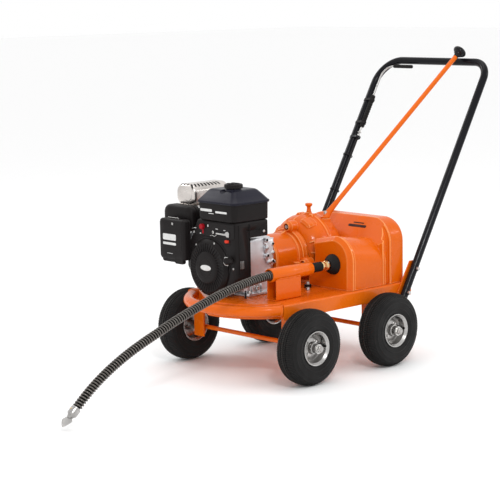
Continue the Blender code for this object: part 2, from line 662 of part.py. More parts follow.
# ---- transmission ---------------------------------------------------------------------------
def bell_housing():
    """Cast neck between the engine and the gear case, with four bolting ears on its rear flange."""
    front, rear = -0.0697, 0.0900
    profile = [(front, 0.0700), (front, 0.0930), (-0.058, 0.0930), (-0.052, 0.0860), (0.054, 0.0820),
               (0.062, 0.0960), (rear, 0.0960), (rear, 0.0700)]
    bell = lathe("bell_housing", profile, "orange", "X", (0, CRANK_Y, CRANK_Z), steps=24, ring=True)
    for i in range(4):
        angle = math.radians(102 + 90 * i)
        y, z = CRANK_Y + 0.108 * math.cos(angle), CRANK_Z + 0.108 * math.sin(angle)
        if z > DECK_TOP + 0.020:
            fuse(bell, rod("bell_ear_%d" % i, (0.058, y, z), (rear, y, z), 0.0215, None, sides=12))


def case_profile(inset):
    """Gear case from front to rear: a domed front, a bolted joint ring, and a flat back."""
    ring = 0.006 if inset == 0 else 0.0
    radius = CASE_RADIUS - inset
    front = [(0.0900 + GAP + inset, 0.0), (0.0900 + GAP + inset, radius - 0.045),
             (0.1040 + inset, radius - 0.024), (0.1300, radius - 0.004), (0.1480, radius)]
    joint = [(0.1700, radius), (0.1720, radius + ring), (0.1880, radius + ring), (0.1900, radius)]
    rear = [(0.2300, radius - 0.002), (0.2460 - inset, radius - 0.012), (0.2460 - inset, 0.0)]
    return front + (joint if ring else []) + rear


def gear_case():
    """Gear case on a flat foot, with the shift boss and the filler boss on top."""
    wall = 0.006
    case = lathe("gear_case", case_profile(0), "orange", "X", (0, CRANK_Y, CASE_Z), steps=24)
    inside = lathe("case_room", case_profile(wall), None, "X", (0, CRANK_Y, CASE_Z), steps=20)
    below = box("case_below", (0.05, -0.10, 0.20), (0.30, 0.25, DECK_TOP + GAP), None)
    shaft_in = rod("case_shaft_in", (0.06, CRANK_Y, CRANK_Z), (0.13, CRANK_Y, CRANK_Z),
                   CRANK_RADIUS + GAP, None, sides=20)
    shaft_out = rod("case_shaft_out", (0.20, LAY_Y, LAY_Z), (0.27, LAY_Y, LAY_Z),
                    SPINDLE_RADIUS + GAP, None, sides=20)
    boss = rod("shift_boss", SHIFT_PIVOT - Vector((0, 0, 0.034)), SHIFT_PIVOT - Vector((0, 0, GAP)),
               0.0175, None, sides=20)
    boss_bore = rod("shift_bore", SHIFT_PIVOT - Vector((0, 0, 0.060)), SHIFT_PIVOT + Vector((0, 0, 0.01)),
                    0.0070 + GAP, None, 16)
    filler = rod("filler_boss", (*BREATHER_AT, 0.505), (*BREATHER_AT, 0.527), 0.0120, None, 16)
    sump = box("case_sump_floor", (0.11, 0.01, DECK_TOP + GAP), (0.235, 0.13, DECK_TOP + 0.006), None)
    cut(case, inside)
    fuse(case, sump, boss, filler)
    cut(case, below, shaft_in, shaft_out, boss_bore)
    top = 0.527 + GAP
    plug = [(top, 0.0), (top, 0.0085), (top + 0.018, 0.0075), (top + 0.024, 0.0130), (top + 0.030, 0.0135),
            (top + 0.033, 0.0105), (top + 0.033, 0.0)]
    lathe("breather_plug", plug, "orange", "Z", (*BREATHER_AT, 0), steps=20)


def gear_train():
    """Input shaft with its clutch plate and pinion, and the layshaft with its gear and sprocket."""
    towards = math.atan2(LAY_Z - CRANK_Z, LAY_Y - CRANK_Y)
    plate_front = -0.010 + GAP
    shaft = [(plate_front, 0.0), (plate_front, 0.0600), (0.004, 0.0600), (0.004, CRANK_RADIUS),
             (0.188, CRANK_RADIUS), (0.188, 0.0)]
    shaft_in = lathe("input_shaft", shaft, "steel", "X", (0, CRANK_Y, CRANK_Z), steps=12)
    pinion = plate("pinion_teeth", gear_outline(PINION_TEETH, GEAR_MODULE, towards), 0.024, None, "YZ",
                   (0.160, CRANK_Y, CRANK_Z))
    fuse(shaft_in, pinion)
    away = towards + math.pi + math.pi / GEAR_TEETH
    layshaft = [(0.104, 0.0), (0.104, 0.0110), (0.120, SPINDLE_RADIUS)] + sprocket(SPROCKET_SMALL)
    layshaft += [(SPROCKET_X + 0.018, SPINDLE_RADIUS), (SPROCKET_X + 0.018, 0.0)]
    lay = lathe("drive_gear", layshaft, "steel", "X", (0, LAY_Y, LAY_Z), steps=12)
    wheel = plate("gear_teeth", gear_outline(GEAR_TEETH, GEAR_MODULE, away), 0.020, None, "YZ",
                  (0.160, LAY_Y, LAY_Z))
    fuse(lay, wheel)


def sprocket(radius):
    """Chamfered rim of a chain wheel, as part of a shaft's profile."""
    half = 0.0045
    chamfered = half - 0.0015
    return [(SPROCKET_X - half, SPINDLE_RADIUS), (SPROCKET_X - half, radius - 0.003),
            (SPROCKET_X - chamfered, radius), (SPROCKET_X + chamfered, radius),
            (SPROCKET_X + half, radius - 0.003), (SPROCKET_X + half, SPINDLE_RADIUS)]


def chain_loop(offset):
    """Outline of a belt round both sprockets, seen from the rear: two arcs and two tangents."""
    small, large = SPROCKET_SMALL + offset, SPROCKET_LARGE + offset
    a, b = Vector((LAY_Y, LAY_Z)), Vector((SPINDLE_Y, SPINDLE_Z))
    line = b - a
    heading = math.degrees(math.atan2(line.y, line.x))
    spread = math.degrees(math.acos((small - large) / line.length))
    return (arc(a, small, heading + spread, heading + 360 - spread, 9)
            + arc(b, large, heading - spread, heading + spread, 12))


def spindle():
    """Output spindle on its bearing, the chain that drives it, and the brass cable coupling."""
    profile = [(0.0560, 0.0), (0.0560, SPINDLE_RADIUS)] + sprocket(SPROCKET_LARGE)
    profile += [(SPROCKET_X + 0.030, SPINDLE_RADIUS), (SPROCKET_X + 0.030, 0.0)]
    lathe("spindle", profile, "steel", "X", (0, SPINDLE_Y, SPINDLE_Z), steps=20)
    chain = plate("drive_chain", chain_loop(0.007), 0.006, "steel", "YZ", (SPROCKET_X, 0, 0))
    inside = plate("chain_inside", chain_loop(0.0010), 0.010, None, "YZ", (SPROCKET_X, 0, 0))
    cut(chain, inside)
    bearing = [(0.180, SPINDLE_RADIUS + GAP), (0.180, 0.0320), (0.205, 0.0320), (0.205, SPINDLE_RADIUS + GAP)]
    block = lathe("spindle_bearing", bearing, "steel", "X", (0, SPINDLE_Y, SPINDLE_Z), steps=24, ring=True)
    foot = box("bearing_foot", (0.182, SPINDLE_Y - 0.045, DECK_TOP + GAP),
               (0.203, SPINDLE_Y + 0.045, 0.300), None)
    post = box("bearing_post", (0.184, SPINDLE_Y - 0.020, 0.290),
               (0.201, SPINDLE_Y + 0.020, 0.345), None)
    fuse(block, foot, post)
    nose = [(0.0200, 0.0), (0.0200, 0.0150), (0.0230, 0.0170), (0.0330, 0.0170), (0.0350, 0.0145),
            (0.0420, 0.0145), (0.0440, 0.0175), (0.0540, 0.0175), (0.0560 - GAP, 0.0150),
            (0.0560 - GAP, 0.0)]
    lathe("cable_coupling", nose, "brass", "X", (0, SPINDLE_Y, SPINDLE_Z), steps=20)


def arch(x, left, right, top, left_radius, right_radius, bottom):
    """An upside-down U section of the rear cover, from its right foot over the top to its left foot."""
    steps = 4
    points = [(right, bottom)]
    points += arc((right - right_radius, top - right_radius), right_radius, 0, 90, steps)
    points += arc((left + left_radius, top - left_radius), left_radius, 90, 180, steps)
    points += [(left, bottom)]
    return [(x, y, z) for y, z in points]


def cover_form(name, inset, bottom, colour):
    """Tall hood and low nose of the rear cover as one closed form, or its inside when inset."""
    def hood_section(x, shrink):
        shrink += inset
        radius = 0.085 - shrink
        return arch(x, COVER_LEFT + shrink, COVER_RIGHT - shrink, COVER_TOP - shrink, radius, radius, bottom)

    def nose_section(x, shrink):
        shrink += inset
        top = NOSE_TOP - 0.13 * (x - COVER_FRONT) - shrink
        ring = arch(x, COVER_LEFT + shrink, NOSE_RIGHT - inset, top, 0.085 - shrink, 0.030 - inset, bottom)
        return [ring[0]] + [(x, y, z - 0.2 * max(0.0, y - SPINDLE_Y)) for x, y, z in ring[1:]]

    hood = loft(name, [hood_section(COVER_STEP + inset, 0.012), hood_section(COVER_STEP + 0.008 + inset, 0.006),
                       hood_section(0.298 + inset, 0.005), hood_section(0.303 + inset, 0.0),
                       hood_section(COVER_REAR - 0.010 - inset, 0.0), hood_section(COVER_REAR - inset, 0.010)],
                colour)
    lean_from = 0.425
    slope = [(COVER_STEP - 0.05, lean_from), (COVER_STEP, lean_from), (0.310, COVER_TOP),
             (0.310, COVER_TOP + 0.02), (COVER_STEP - 0.05, COVER_TOP + 0.02)]
    wedge = plate(name + "_slope", slope, 0.6, None, "XZ", (1.3 * inset, 0, 0))
    nose = loft(name + "_nose", [nose_section(COVER_FRONT + inset, 0.012),
                                 nose_section(COVER_FRONT + 0.004 + inset, 0.004),
                                 nose_section(COVER_FRONT + 0.014 + inset, 0.0),
                                 nose_section(0.275, 0.0)], None)
    return fuse(cut(hood, wedge), nose)


def drive_cover():
    """Moulded cover over the chain and spindle, open below, cut away round the gear case."""
    wall = 0.004
    cover = cover_form("drive_cover", 0.0, DECK_TOP + GAP, "orange")
    room = cover_form("cover_room", wall, DECK_TOP - 0.02, None)
    profile = [(0.05, 0.0), (0.05, CASE_RADIUS + 0.008), (0.2475, CASE_RADIUS + 0.008), (0.2475, 0.0)]
    case_room = lathe("cover_case_cut", profile, None, "X", (0, CRANK_Y, CASE_Z), steps=32)
    lay_hole = rod("cover_lay_hole", (0.24, LAY_Y, LAY_Z), (0.275, LAY_Y, LAY_Z), 0.0160, None, sides=16)
    nose_hole = rod("cover_nose_hole", (0.07, SPINDLE_Y, SPINDLE_Z), (0.11, SPINDLE_Y, SPINDLE_Z),
                    0.0260, None, sides=24)
    cut(cover, room, case_room, lay_hole, nose_hole)
    boot = [(0.0560, 0.0184), (0.0560, 0.0205), (0.0650, 0.0250), (0.0740, 0.0340), (0.0800, 0.0370),
            (COVER_FRONT - GAP, 0.0375), (COVER_FRONT - GAP, 0.0320), (0.0780, 0.0300), (0.0650, 0.0190)]
    lathe("cable_boot", boot, "rubber", "X", (0, SPINDLE_Y, SPINDLE_Z), steps=20, ring=True)


# ---- guide tube and cable -------------------------------------------------------------------
def cable_guide():
    """Guide tube on a folded saddle bolted to the deck."""
    inner, outer = 0.0205, 0.0240
    front, rear = -0.234, -0.033
    profile = [(front, inner), (front, outer), (rear, outer), (rear, inner)]
    lathe("guide_tube", profile, "orange", "X", (0, SPINDLE_Y, SPINDLE_Z), steps=24, ring=True)
    x0, x1 = -0.222, -0.102
    half = outer - 0.0005
    low, high = DECK_TOP + GAP, SPINDLE_Z - 0.0145
    outside = [(half, high), (half, low), (-half, low), (-half, high)]
    inside = [(-half + SHEET, high), (-half + SHEET, low + SHEET), (half - SHEET, low + SHEET),
              (half - SHEET, high)]
    outline = [(SPINDLE_Y + y, z) for y, z in outside + inside]
    plate("guide_bracket", outline, x1 - x0, "orange", "YZ", ((x0 + x1) / 2, 0, 0))


# The cable's own route, from the coupling through the guide tube and down to the floor.
CABLE_ROUTE = [(0.0190, -0.152, 0.366), (-0.050, -0.152, 0.366), (-0.120, -0.152, 0.366),
               (-0.190, -0.152, 0.366), (-0.250, -0.153, 0.365), (-0.328, -0.155, 0.357),
               (-0.426, -0.159, 0.342), (-0.499, -0.162, 0.326), (-0.572, -0.164, 0.307),
               (-0.640, -0.167, 0.287), (-0.700, -0.169, 0.268), (-0.757, -0.171, 0.248),
               (-0.820, -0.173, 0.226), (-0.877, -0.175, 0.204), (-0.930, -0.177, 0.180),
               (-0.980, -0.179, 0.154), (-1.026, -0.181, 0.126), (-1.068, -0.183, 0.096),
               (-1.104, -0.184, 0.066)]
CABLE_POINTS = 34


def smooth_route(points, count):
    """Evenly counted points on a Catmull-Rom curve through the route's own points."""
    route = [Vector(p) for p in points]
    route = [2 * route[0] - route[1]] + route + [2 * route[-1] - route[-2]]
    spans = len(route) - 3
    result = []
    for i in range(count):
        place_on = i * spans / (count - 1)
        k = min(int(place_on), spans - 1)
        t = place_on - k
        p0, p1, p2, p3 = route[k:k + 4]
        result.append(0.5 * (2 * p1 + (p2 - p0) * t + (2 * p0 - 5 * p1 + 4 * p2 - p3) * t ** 2
                             + (3 * p1 - p0 - 3 * p2 + p3) * t ** 3))
    return result


def cable():
    """Sectional cable, and the spade cutter coupled to its far end."""
    points = smooth_route(CABLE_ROUTE, CABLE_POINTS)
    wire("drain_cable", points, CABLE_RADIUS, "steel", 2)
    way = (points[-1] - points[-2]).normalized()
    start = points[-1] + way * GAP
    socket = [(0.0, 0.0), (0.0, 0.0165), (0.026, 0.0165), (0.032, 0.0110), (0.040, 0.0080), (0.040, 0.0)]
    head = lathe("cutter_head", socket, "steel", "Z", start, steps=20)
    aim(head, way)
    blade = [(0.010, 0.020), (0.010, 0.034), (0.024, 0.050), (0.015, 0.062), (0.0, 0.076), (-0.015, 0.062),
             (-0.024, 0.050), (-0.010, 0.034), (-0.010, 0.020)]
    spade = plate("cutter_blade", blade, 0.004, None, "XY")
    upright = way.cross(Vector((0, 1, 0))).normalized()
    frame = Matrix((upright.cross(way) * -1, way, upright * -1)).transposed().to_4x4()
    spade.matrix_basis = Matrix.Translation(start) @ frame
    fuse(head, spade)


# ---- build ----------------------------------------------------------------------------------
wheels()
axles()
legs()
deck()
handle()
handle_control()
shift_lever()
engine_block()
cylinder_head()
crank()
engine_covers()
pull_start_grip()
fuel_tank()
muffler()
air_cleaner()
engine_controls()
bell_housing()
gear_case()
gear_train()
spindle()
drive_cover()
cable_guide()
cable()
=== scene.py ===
"""Drain snake machine: fine meshes, finishes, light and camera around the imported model.

The row frame is in metres, +Z up, the engine at the -X end and the handle at the +X end.  Places are
given from the middle of the wheelbase, as in the part's own source, and on() puts them in the frame.
"""
import json
import math

import bmesh
import bpy
from mathutils import Matrix, Vector
from mathutils.bvhtree import BVHTree


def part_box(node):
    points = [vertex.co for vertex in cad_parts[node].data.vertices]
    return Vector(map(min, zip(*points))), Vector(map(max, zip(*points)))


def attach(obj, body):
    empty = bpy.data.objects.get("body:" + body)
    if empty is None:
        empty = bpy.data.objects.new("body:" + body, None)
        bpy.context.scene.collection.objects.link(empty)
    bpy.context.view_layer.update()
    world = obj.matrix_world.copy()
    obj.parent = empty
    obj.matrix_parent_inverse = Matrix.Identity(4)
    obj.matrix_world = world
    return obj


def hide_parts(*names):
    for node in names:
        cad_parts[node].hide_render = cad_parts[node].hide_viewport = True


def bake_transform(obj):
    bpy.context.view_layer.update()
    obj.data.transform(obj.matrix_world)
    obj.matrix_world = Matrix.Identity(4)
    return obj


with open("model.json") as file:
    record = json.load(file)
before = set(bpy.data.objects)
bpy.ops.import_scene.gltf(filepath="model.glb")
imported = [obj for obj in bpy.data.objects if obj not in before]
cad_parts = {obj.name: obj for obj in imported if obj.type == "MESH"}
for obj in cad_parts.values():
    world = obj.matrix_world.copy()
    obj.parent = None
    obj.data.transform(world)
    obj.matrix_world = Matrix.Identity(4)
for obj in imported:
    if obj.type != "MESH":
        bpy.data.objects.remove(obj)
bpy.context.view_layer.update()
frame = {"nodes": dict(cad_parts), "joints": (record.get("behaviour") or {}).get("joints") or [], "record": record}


# ---- places ---------------------------------------------------------------------------------
def middle(node):
    low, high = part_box(node)
    return (low + high) / 2


CART_X = (middle("tyre_front_left").x + middle("tyre_rear_left").x) / 2
TAU = 2 * math.pi
X, Y, Z = Vector((1, 0, 0)), Vector((0, 1, 0)), Vector((0, 0, 1))
DECK_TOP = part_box("deck_pan")[1].z
ON_DECK = DECK_TOP + 0.0004
CLEAR_OF_DECK = DECK_TOP + 0.02
CRANK_Y, CRANK_Z = middle("crankshaft").y, middle("crankshaft").z
SPINDLE_Y, SPINDLE_Z = middle("guide_tube").y, middle("guide_tube").z
JOINTS = {joint["name"]: joint for joint in frame["joints"]}


def on(x, y, z):
    """A place given from the middle of the wheelbase, in the row frame."""
    return Vector((x + CART_X, y, z))


CRANK_AT = on(0, CRANK_Y, CRANK_Z)
SPINDLE_AT = on(0, SPINDLE_Y, SPINDLE_Z)
LAYSHAFT_AT = on(0, middle("drive_gear").y, middle("drive_gear").z)


def mm(points):
    """Points or profile places given in millimetres."""
    return [tuple(round(value / 1000, 6) for value in point) for point in points]


def shifted(points, along=0.0, radius=0.0):
    """A profile given in millimetres, moved along its axis and outwards."""
    return [(along + a, radius + r, *rest) for a, r, *rest in mm(points)]


# ---- camera ---------------------------------------------------------------------------------
CAMERA_AT = on(-4.1206, -4.1957, 1.3350)
CAMERA_LOOKS = on(-0.1792, 0, 0.4338)
CAMERA_ROLL = math.radians(-1.0025)
CAMERA_LENS = 118.72


def add_camera():
    forward = (CAMERA_LOOKS - CAMERA_AT).normalized()
    right = forward.cross(Z).normalized()
    up = right.cross(forward)
    turned_right = right * math.cos(CAMERA_ROLL) + up * math.sin(CAMERA_ROLL)
    turned_up = up * math.cos(CAMERA_ROLL) - right * math.sin(CAMERA_ROLL)
    camera = bpy.data.objects.new("camera", bpy.data.cameras.new("camera"))
    camera.data.lens = CAMERA_LENS
    camera.data.sensor_width = 36
    camera.matrix_world = Matrix((turned_right, turned_up, -forward)).transposed().to_4x4()
    camera.matrix_world.translation = CAMERA_AT
    bpy.context.scene.collection.objects.link(camera)
    bpy.context.scene.camera = camera


# ---- finishes -------------------------------------------------------------------------------
def finish(name, colour, roughness, metallic=0.0, coat=0.0, mottle=(6, 0.10), grain=(900, 0.10, 0.0002),
           smears=(25, 0.10), edge_wear_and_highlight=None, edges=(0.53, 0.60), dusty=0.0, sheen=0.0):
    """A procedural finish: mottled colour, smeared roughness, a fine grain, lighter edges (wear, and painted
    highlight on some finishes) and settled dust.
    """
    mat = bpy.data.materials.new(name)
    mat.use_nodes = True
    nodes, links = mat.node_tree.nodes, mat.node_tree.links
    shader = nodes["Principled BSDF"]
    shader.inputs["Metallic"].default_value = metallic
    shader.inputs["Coat Weight"].default_value = coat
    shader.inputs["Coat Roughness"].default_value = 0.08
    shader.inputs["Specular IOR Level"].default_value = 0.5 if metallic else 0.12
    shader.inputs["Sheen Weight"].default_value = sheen
    where = nodes.new("ShaderNodeTexCoord")

    def noise(scale, detail):
        texture = nodes.new("ShaderNodeTexNoise")
        texture.inputs["Scale"].default_value = scale
        texture.inputs["Detail"].default_value = detail
        links.new(where.outputs["Object"], texture.inputs["Vector"])
        return texture.outputs["Fac"]

    def spread(value, low, high, start=0.3, end=0.7):
        ranged = nodes.new("ShaderNodeMapRange")
        ranged.inputs["From Min"].default_value = start
        ranged.inputs["From Max"].default_value = end
        ranged.inputs["To Min"].default_value = low
        ranged.inputs["To Max"].default_value = high
        links.new(value, ranged.inputs["Value"])
        return ranged.outputs["Result"]

    def mix(amount, first, second):
        blend = nodes.new("ShaderNodeMix")
        blend.data_type = "RGBA"
        links.new(amount, blend.inputs["Factor"])
        for socket, tint in ((blend.inputs["A"], first), (blend.inputs["B"], second)):
            if isinstance(tint, tuple):
                socket.default_value = (*tint, 1)
            else:
                links.new(tint, socket)
        return blend.outputs["Result"]

    scale, amount = mottle
    darker = tuple(c * (1 - amount) for c in colour)
    lighter = tuple(min(1.0, c * (1 + amount)) for c in colour)
    tint = mix(spread(noise(scale, 4), 0, 1), darker, lighter)
    geometry = nodes.new("ShaderNodeNewGeometry")
    # edges lighter by pointiness: wear on some finishes, painted highlight on the orange finishes and the cable
    # wire
    if edge_wear_and_highlight:
        edge = spread(geometry.outputs["Pointiness"], 0.0, 0.55, *edges)
        tint = mix(edge, tint, edge_wear_and_highlight)
    if dusty:
        split = nodes.new("ShaderNodeSeparateXYZ")
        links.new(geometry.outputs["Normal"], split.inputs["Vector"])
        upward = nodes.new("ShaderNodeMath")
        upward.operation = "MULTIPLY"
        links.new(spread(split.outputs["Z"], 0.0, dusty, 0.2, 1.0), upward.inputs[0])
        links.new(spread(noise(18, 5), 0.2, 1.0), upward.inputs[1])
        tint = mix(upward.outputs["Value"], tint, (0.30, 0.26, 0.22))
    links.new(tint, shader.inputs["Base Color"])
    smear_scale, smear = smears
    links.new(spread(noise(smear_scale, 5), max(0.03, roughness - smear), roughness + smear),
              shader.inputs["Roughness"])
    grain_scale, strength, depth = grain
    bump = nodes.new("ShaderNodeBump")
    bump.inputs["Strength"].default_value = strength
    bump.inputs["Distance"].default_value = depth
    links.new(noise(grain_scale, 2), bump.inputs["Height"])
    links.new(bump.outputs["Normal"], shader.inputs["Normal"])
    return mat


ORANGE = (0.69, 0.114, 0.0008)
# painted highlight: lighter orange along the edges of the painted steel
PAINTED_SOFT_HIGHLIGHT = (0.74, 0.150, 0.006)
# painted highlight: bright pale orange along the fine edges of the castings and the moulded cover
PAINTED_BRIGHT_HIGHLIGHT = (1.0, 0.50, 0.18)          # only for the finely meshed castings and the moulded cover
BRIGHT_HIGHLIGHT_BAND = (0.506, 0.535)
FINISHES = {}
for look, slot, colour, roughness, options in (
        ("orange_paint", "orange_paint", ORANGE, 0.28, dict(coat=0.20, mottle=(5, 0.05),
         grain=(160, 0.10, 0.0005), smears=(20, 0.06), edge_wear_and_highlight=PAINTED_SOFT_HIGHLIGHT, dusty=0.03)),
        # the moulded cover and the orange castings carry the painted edge highlight
        ("orange_plastic", "orange_plastic", ORANGE, 0.27, dict(coat=0.16, mottle=(4, 0.04),
         grain=(90, 0.08, 0.0007), smears=(14, 0.05), edge_wear_and_highlight=PAINTED_BRIGHT_HIGHLIGHT, edges=BRIGHT_HIGHLIGHT_BAND, dusty=0.02)),
        ("cast_orange", "orange_paint", ORANGE, 0.34, dict(coat=0.17, mottle=(12, 0.07),
         grain=(220, 0.30, 0.0008), smears=(40, 0.07), edge_wear_and_highlight=PAINTED_BRIGHT_HIGHLIGHT, edges=BRIGHT_HIGHLIGHT_BAND, dusty=0.04)),
        ("black_paint", "black_paint", (0.005, 0.005, 0.007), 0.17, dict(coat=0.06,
         grain=(150, 0.08, 0.0005), smears=(30, 0.08), edge_wear_and_highlight=(0.022, 0.022, 0.026), dusty=0.004)),
        ("black_plastic", "black_plastic", (0.0100, 0.0082, 0.0082), 0.42, dict(mottle=(9, 0.15),
         grain=(1100, 0.35, 0.0003), smears=(25, 0.10), edge_wear_and_highlight=(0.016, 0.0145, 0.015), dusty=0.02)),
        ("tank_top", "black_plastic", (0.014, 0.014, 0.024), 0.34, dict(mottle=(9, 0.12),
         grain=(900, 0.25, 0.0003), smears=(18, 0.08), edge_wear_and_highlight=(0.026, 0.026, 0.038), dusty=0.03)),
        ("black_gloss", "black_gloss", (0.006, 0.006, 0.007), 0.12, dict(coat=0.2,
         grain=(60, 0.05, 0.0004), smears=(30, 0.06))),
        ("rubber", "rubber", (0.009, 0.0085, 0.0085), 0.60, dict(mottle=(14, 0.20),
         grain=(700, 0.40, 0.0004), smears=(35, 0.12), edge_wear_and_highlight=(0.022, 0.020, 0.019), dusty=0.03)),
        ("tyre", "tyre", (0.0095, 0.0090, 0.0090), 0.58, dict(mottle=(10, 0.25),
         grain=(500, 0.45, 0.0005), smears=(30, 0.12), edge_wear_and_highlight=(0.028, 0.025, 0.023), dusty=0.03,
         sheen=0.05)),
        ("cast_aluminium", "cast_aluminium", (0.60, 0.60, 0.62), 0.40, dict(metallic=0.85,
         mottle=(18, 0.12), grain=(650, 0.55, 0.0006), smears=(60, 0.12), edge_wear_and_highlight=(0.78, 0.78, 0.80),
         dusty=0.08)),
        ("steel", "steel", (0.40, 0.39, 0.38), 0.32, dict(metallic=1.0, mottle=(30, 0.15),
         grain=(800, 0.20, 0.0003), smears=(70, 0.12), edge_wear_and_highlight=(0.66, 0.65, 0.63))),
        # cable wire: the lighter edge tint is painted highlight on the crests of the wire
        ("cable_steel", "cable_steel", (0.066, 0.060, 0.055), 0.26, dict(metallic=0.85,
         mottle=(40, 0.35), grain=(900, 0.30, 0.0003), smears=(60, 0.12), edge_wear_and_highlight=(0.24, 0.22, 0.20))),
        ("zinc", "zinc", (0.42, 0.41, 0.40), 0.30, dict(metallic=1.0, mottle=(22, 0.15),
         grain=(500, 0.20, 0.0003), smears=(35, 0.12), edge_wear_and_highlight=(0.74, 0.73, 0.71), dusty=0.05)),
        ("muffler_steel", "zinc", (0.60, 0.56, 0.53), 0.32, dict(metallic=1.0, mottle=(14, 0.14),
         grain=(350, 0.20, 0.0004), smears=(16, 0.10), edge_wear_and_highlight=(0.80, 0.77, 0.75))),
        ("brass", "brass", (0.72, 0.52, 0.26), 0.26, dict(metallic=1.0, mottle=(40, 0.15),
         grain=(700, 0.2, 0.0003), smears=(50, 0.10), edge_wear_and_highlight=(0.90, 0.75, 0.50))),
        ("red_plastic", "red_plastic", (0.30, 0.006, 0.012), 0.38, dict(mottle=(30, 0.15),
         grain=(800, 0.2, 0.0003))),
        ("stop_red", "red_plastic", (0.66, 0.045, 0.022), 0.36, dict(mottle=(30, 0.10),
         grain=(800, 0.2, 0.0003))),
        ("rope", "rubber", (0.42, 0.42, 0.41), 0.70, dict(mottle=(200, 0.3),
         grain=(1400, 0.5, 0.0003))),
        ("decal_light", "black_plastic", (0.66, 0.66, 0.65), 0.45, dict(mottle=(60, 0.08),
         grain=(900, 0.1, 0.0002))),
        ("decal_dark", "orange_plastic", (0.040, 0.014, 0.010), 0.40, dict(mottle=(60, 0.2),
         grain=(900, 0.1, 0.0002))),
        # plain black laid where only shade falls: painted shade in slots, empty bolt holes and the cable's core
        ("painted_shade_black", "black_plastic", (0.004, 0.004, 0.004), 0.8, dict(grain=(300, 0.2, 0.0005)))):
    FINISHES[look] = finish(look, colour, roughness, **options), slot


def finish_frame():
    """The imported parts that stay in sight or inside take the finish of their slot."""
    for part in frame["record"]["subparts"]:
        node = frame["nodes"][part["node"]]
        material = FINISHES[part["material_slot"]][0]
        for place in node.material_slots:
            place.material = material


# ---- shape helpers --------------------------------------------------------------------------
def piece(name, bm, look, body="cart", sharp=38, stands_for=()):
    """An object from a finished bmesh: it takes its finish, and rides on a body."""
    bmesh.ops.recalc_face_normals(bm, faces=bm.faces)
    mesh = bpy.data.meshes.new(name)
    bm.to_mesh(mesh)
    bm.free()
    mesh.shade_smooth()
    mesh.set_sharp_from_angle(angle=math.radians(sharp))
    obj = bpy.data.objects.new(name, mesh)
    bpy.context.scene.collection.objects.link(obj)
    if look:
        material, slot = FINISHES[look]
        mesh.materials.append(material)
        if body:
            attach(obj, body)
    if stands_for:
        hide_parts(*stands_for)
    return obj


def skin_into(bm, rings, wrap=False, caps=True):
    """Faces over a row of rings; a ring of one point is a pole."""
    rows = [[bm.verts.new(point) for point in ring] for ring in rings]
    pairs = list(zip(rows, rows[1:]))
    if wrap:
        pairs.append((rows[-1], rows[0]))
    for low, high in pairs:
        count = max(len(low), len(high))
        for i in range(count):
            j = (i + 1) % count
            if len(low) == 1:
                bm.faces.new((low[0], high[j], high[i]))
            elif len(high) == 1:
                bm.faces.new((low[i], low[j], high[0]))
            else:
                bm.faces.new((low[i], low[j], high[j], high[i]))
    if caps and not wrap:
        for row in (rows[0], rows[-1]):
            if len(row) > 2:
                bm.faces.new(row)


def skin(name, rings, look, body="cart", wrap=False, caps=True, sharp=38, stands_for=()):
    bm = bmesh.new()
    skin_into(bm, rings, wrap, caps)
    return piece(name, bm, look, body, sharp, stands_for)


def across(direction):
    """Two directions square to one another and to a third."""
    direction = Vector(direction).normalized()
    helper = Z if abs(direction.z) < 0.9 else X
    first = direction.cross(helper).normalized()
    return first, direction.cross(first)


def rod(low, high, radius):
    """Profile of a plain cylinder."""
    return [(low, 0), (low, radius), (high, radius), (high, 0)]


def ellipse(at, u, v, steps):
    """A ring of points about a centre; u and v are its half axes."""
    return [at + u * math.cos(TAU * k / steps) + v * math.sin(TAU * k / steps) for k in range(steps)]


def turned_rings(profile, at, direction, steps, shape=None):
    """Rings of a turned shape.  The profile runs along the direction; shape may change each radius."""
    direction = Vector(direction).normalized()
    u, v = across(direction)
    rings = []
    for along, radius in profile:
        centre = Vector(at) + direction * along
        if radius < 1e-6:
            rings.append([centre])
            continue
        ring = []
        for i in range(steps):
            angle = TAU * i / steps
            r = shape(angle, along, radius) if shape else radius
            ring.append(centre + u * r * math.cos(angle) + v * r * math.sin(angle))
        rings.append(ring)
    return rings


def turned(name, profile, at, direction, look, body="cart", steps=64, wrap=False, shape=None, sharp=38,
           stands_for=()):
    return skin(name, turned_rings(profile, at, direction, steps, shape), look, body, wrap,
                sharp=sharp, stands_for=stands_for)


def frames_along(points):
    """A steady pair of cross directions at each point of a path."""
    points = [Vector(p) for p in points]
    result = []
    u = None
    for i, point in enumerate(points):
        ahead = points[min(i + 1, len(points) - 1)] - points[max(i - 1, 0)]
        ahead.normalize()
        if u is None:
            u, v = across(ahead)
        else:
            u = (u - ahead * u.dot(ahead)).normalized()
            v = ahead.cross(u)
        result.append((point, u.copy(), v.copy()))
    return result


def tube_rings(points, radius, sides):
    rings = []
    for i, (point, u, v) in enumerate(frames_along(points)):
        r = radius(i) if callable(radius) else radius
        rings.append(ellipse(point, u * r, v * r, sides))
    return rings


def tube(name, points, radius, look, body="cart", sides=20, stands_for=()):
    return skin(name, tube_rings(points, radius, sides), look, body, stands_for=stands_for)


def arc(centre, radius, start, end, steps):
    """Points on a circle in a plane, angles in degrees."""
    return [(centre[0] + radius * math.cos(math.radians(start + (end - start) * i / steps)),
             centre[1] + radius * math.sin(math.radians(start + (end - start) * i / steps)))
            for i in range(steps + 1)]


def round_rect(low, high, radius, steps=6):
    """A rectangle in a plane with its corners rounded."""
    (x0, y0), (x1, y1) = low, high
    r = radius
    return (arc((x1 - r, y1 - r), r, 0, 90, steps) + arc((x0 + r, y1 - r), r, 90, 180, steps)
            + arc((x0 + r, y0 + r), r, 180, 270, steps) + arc((x1 - r, y0 + r), r, 270, 360, steps))


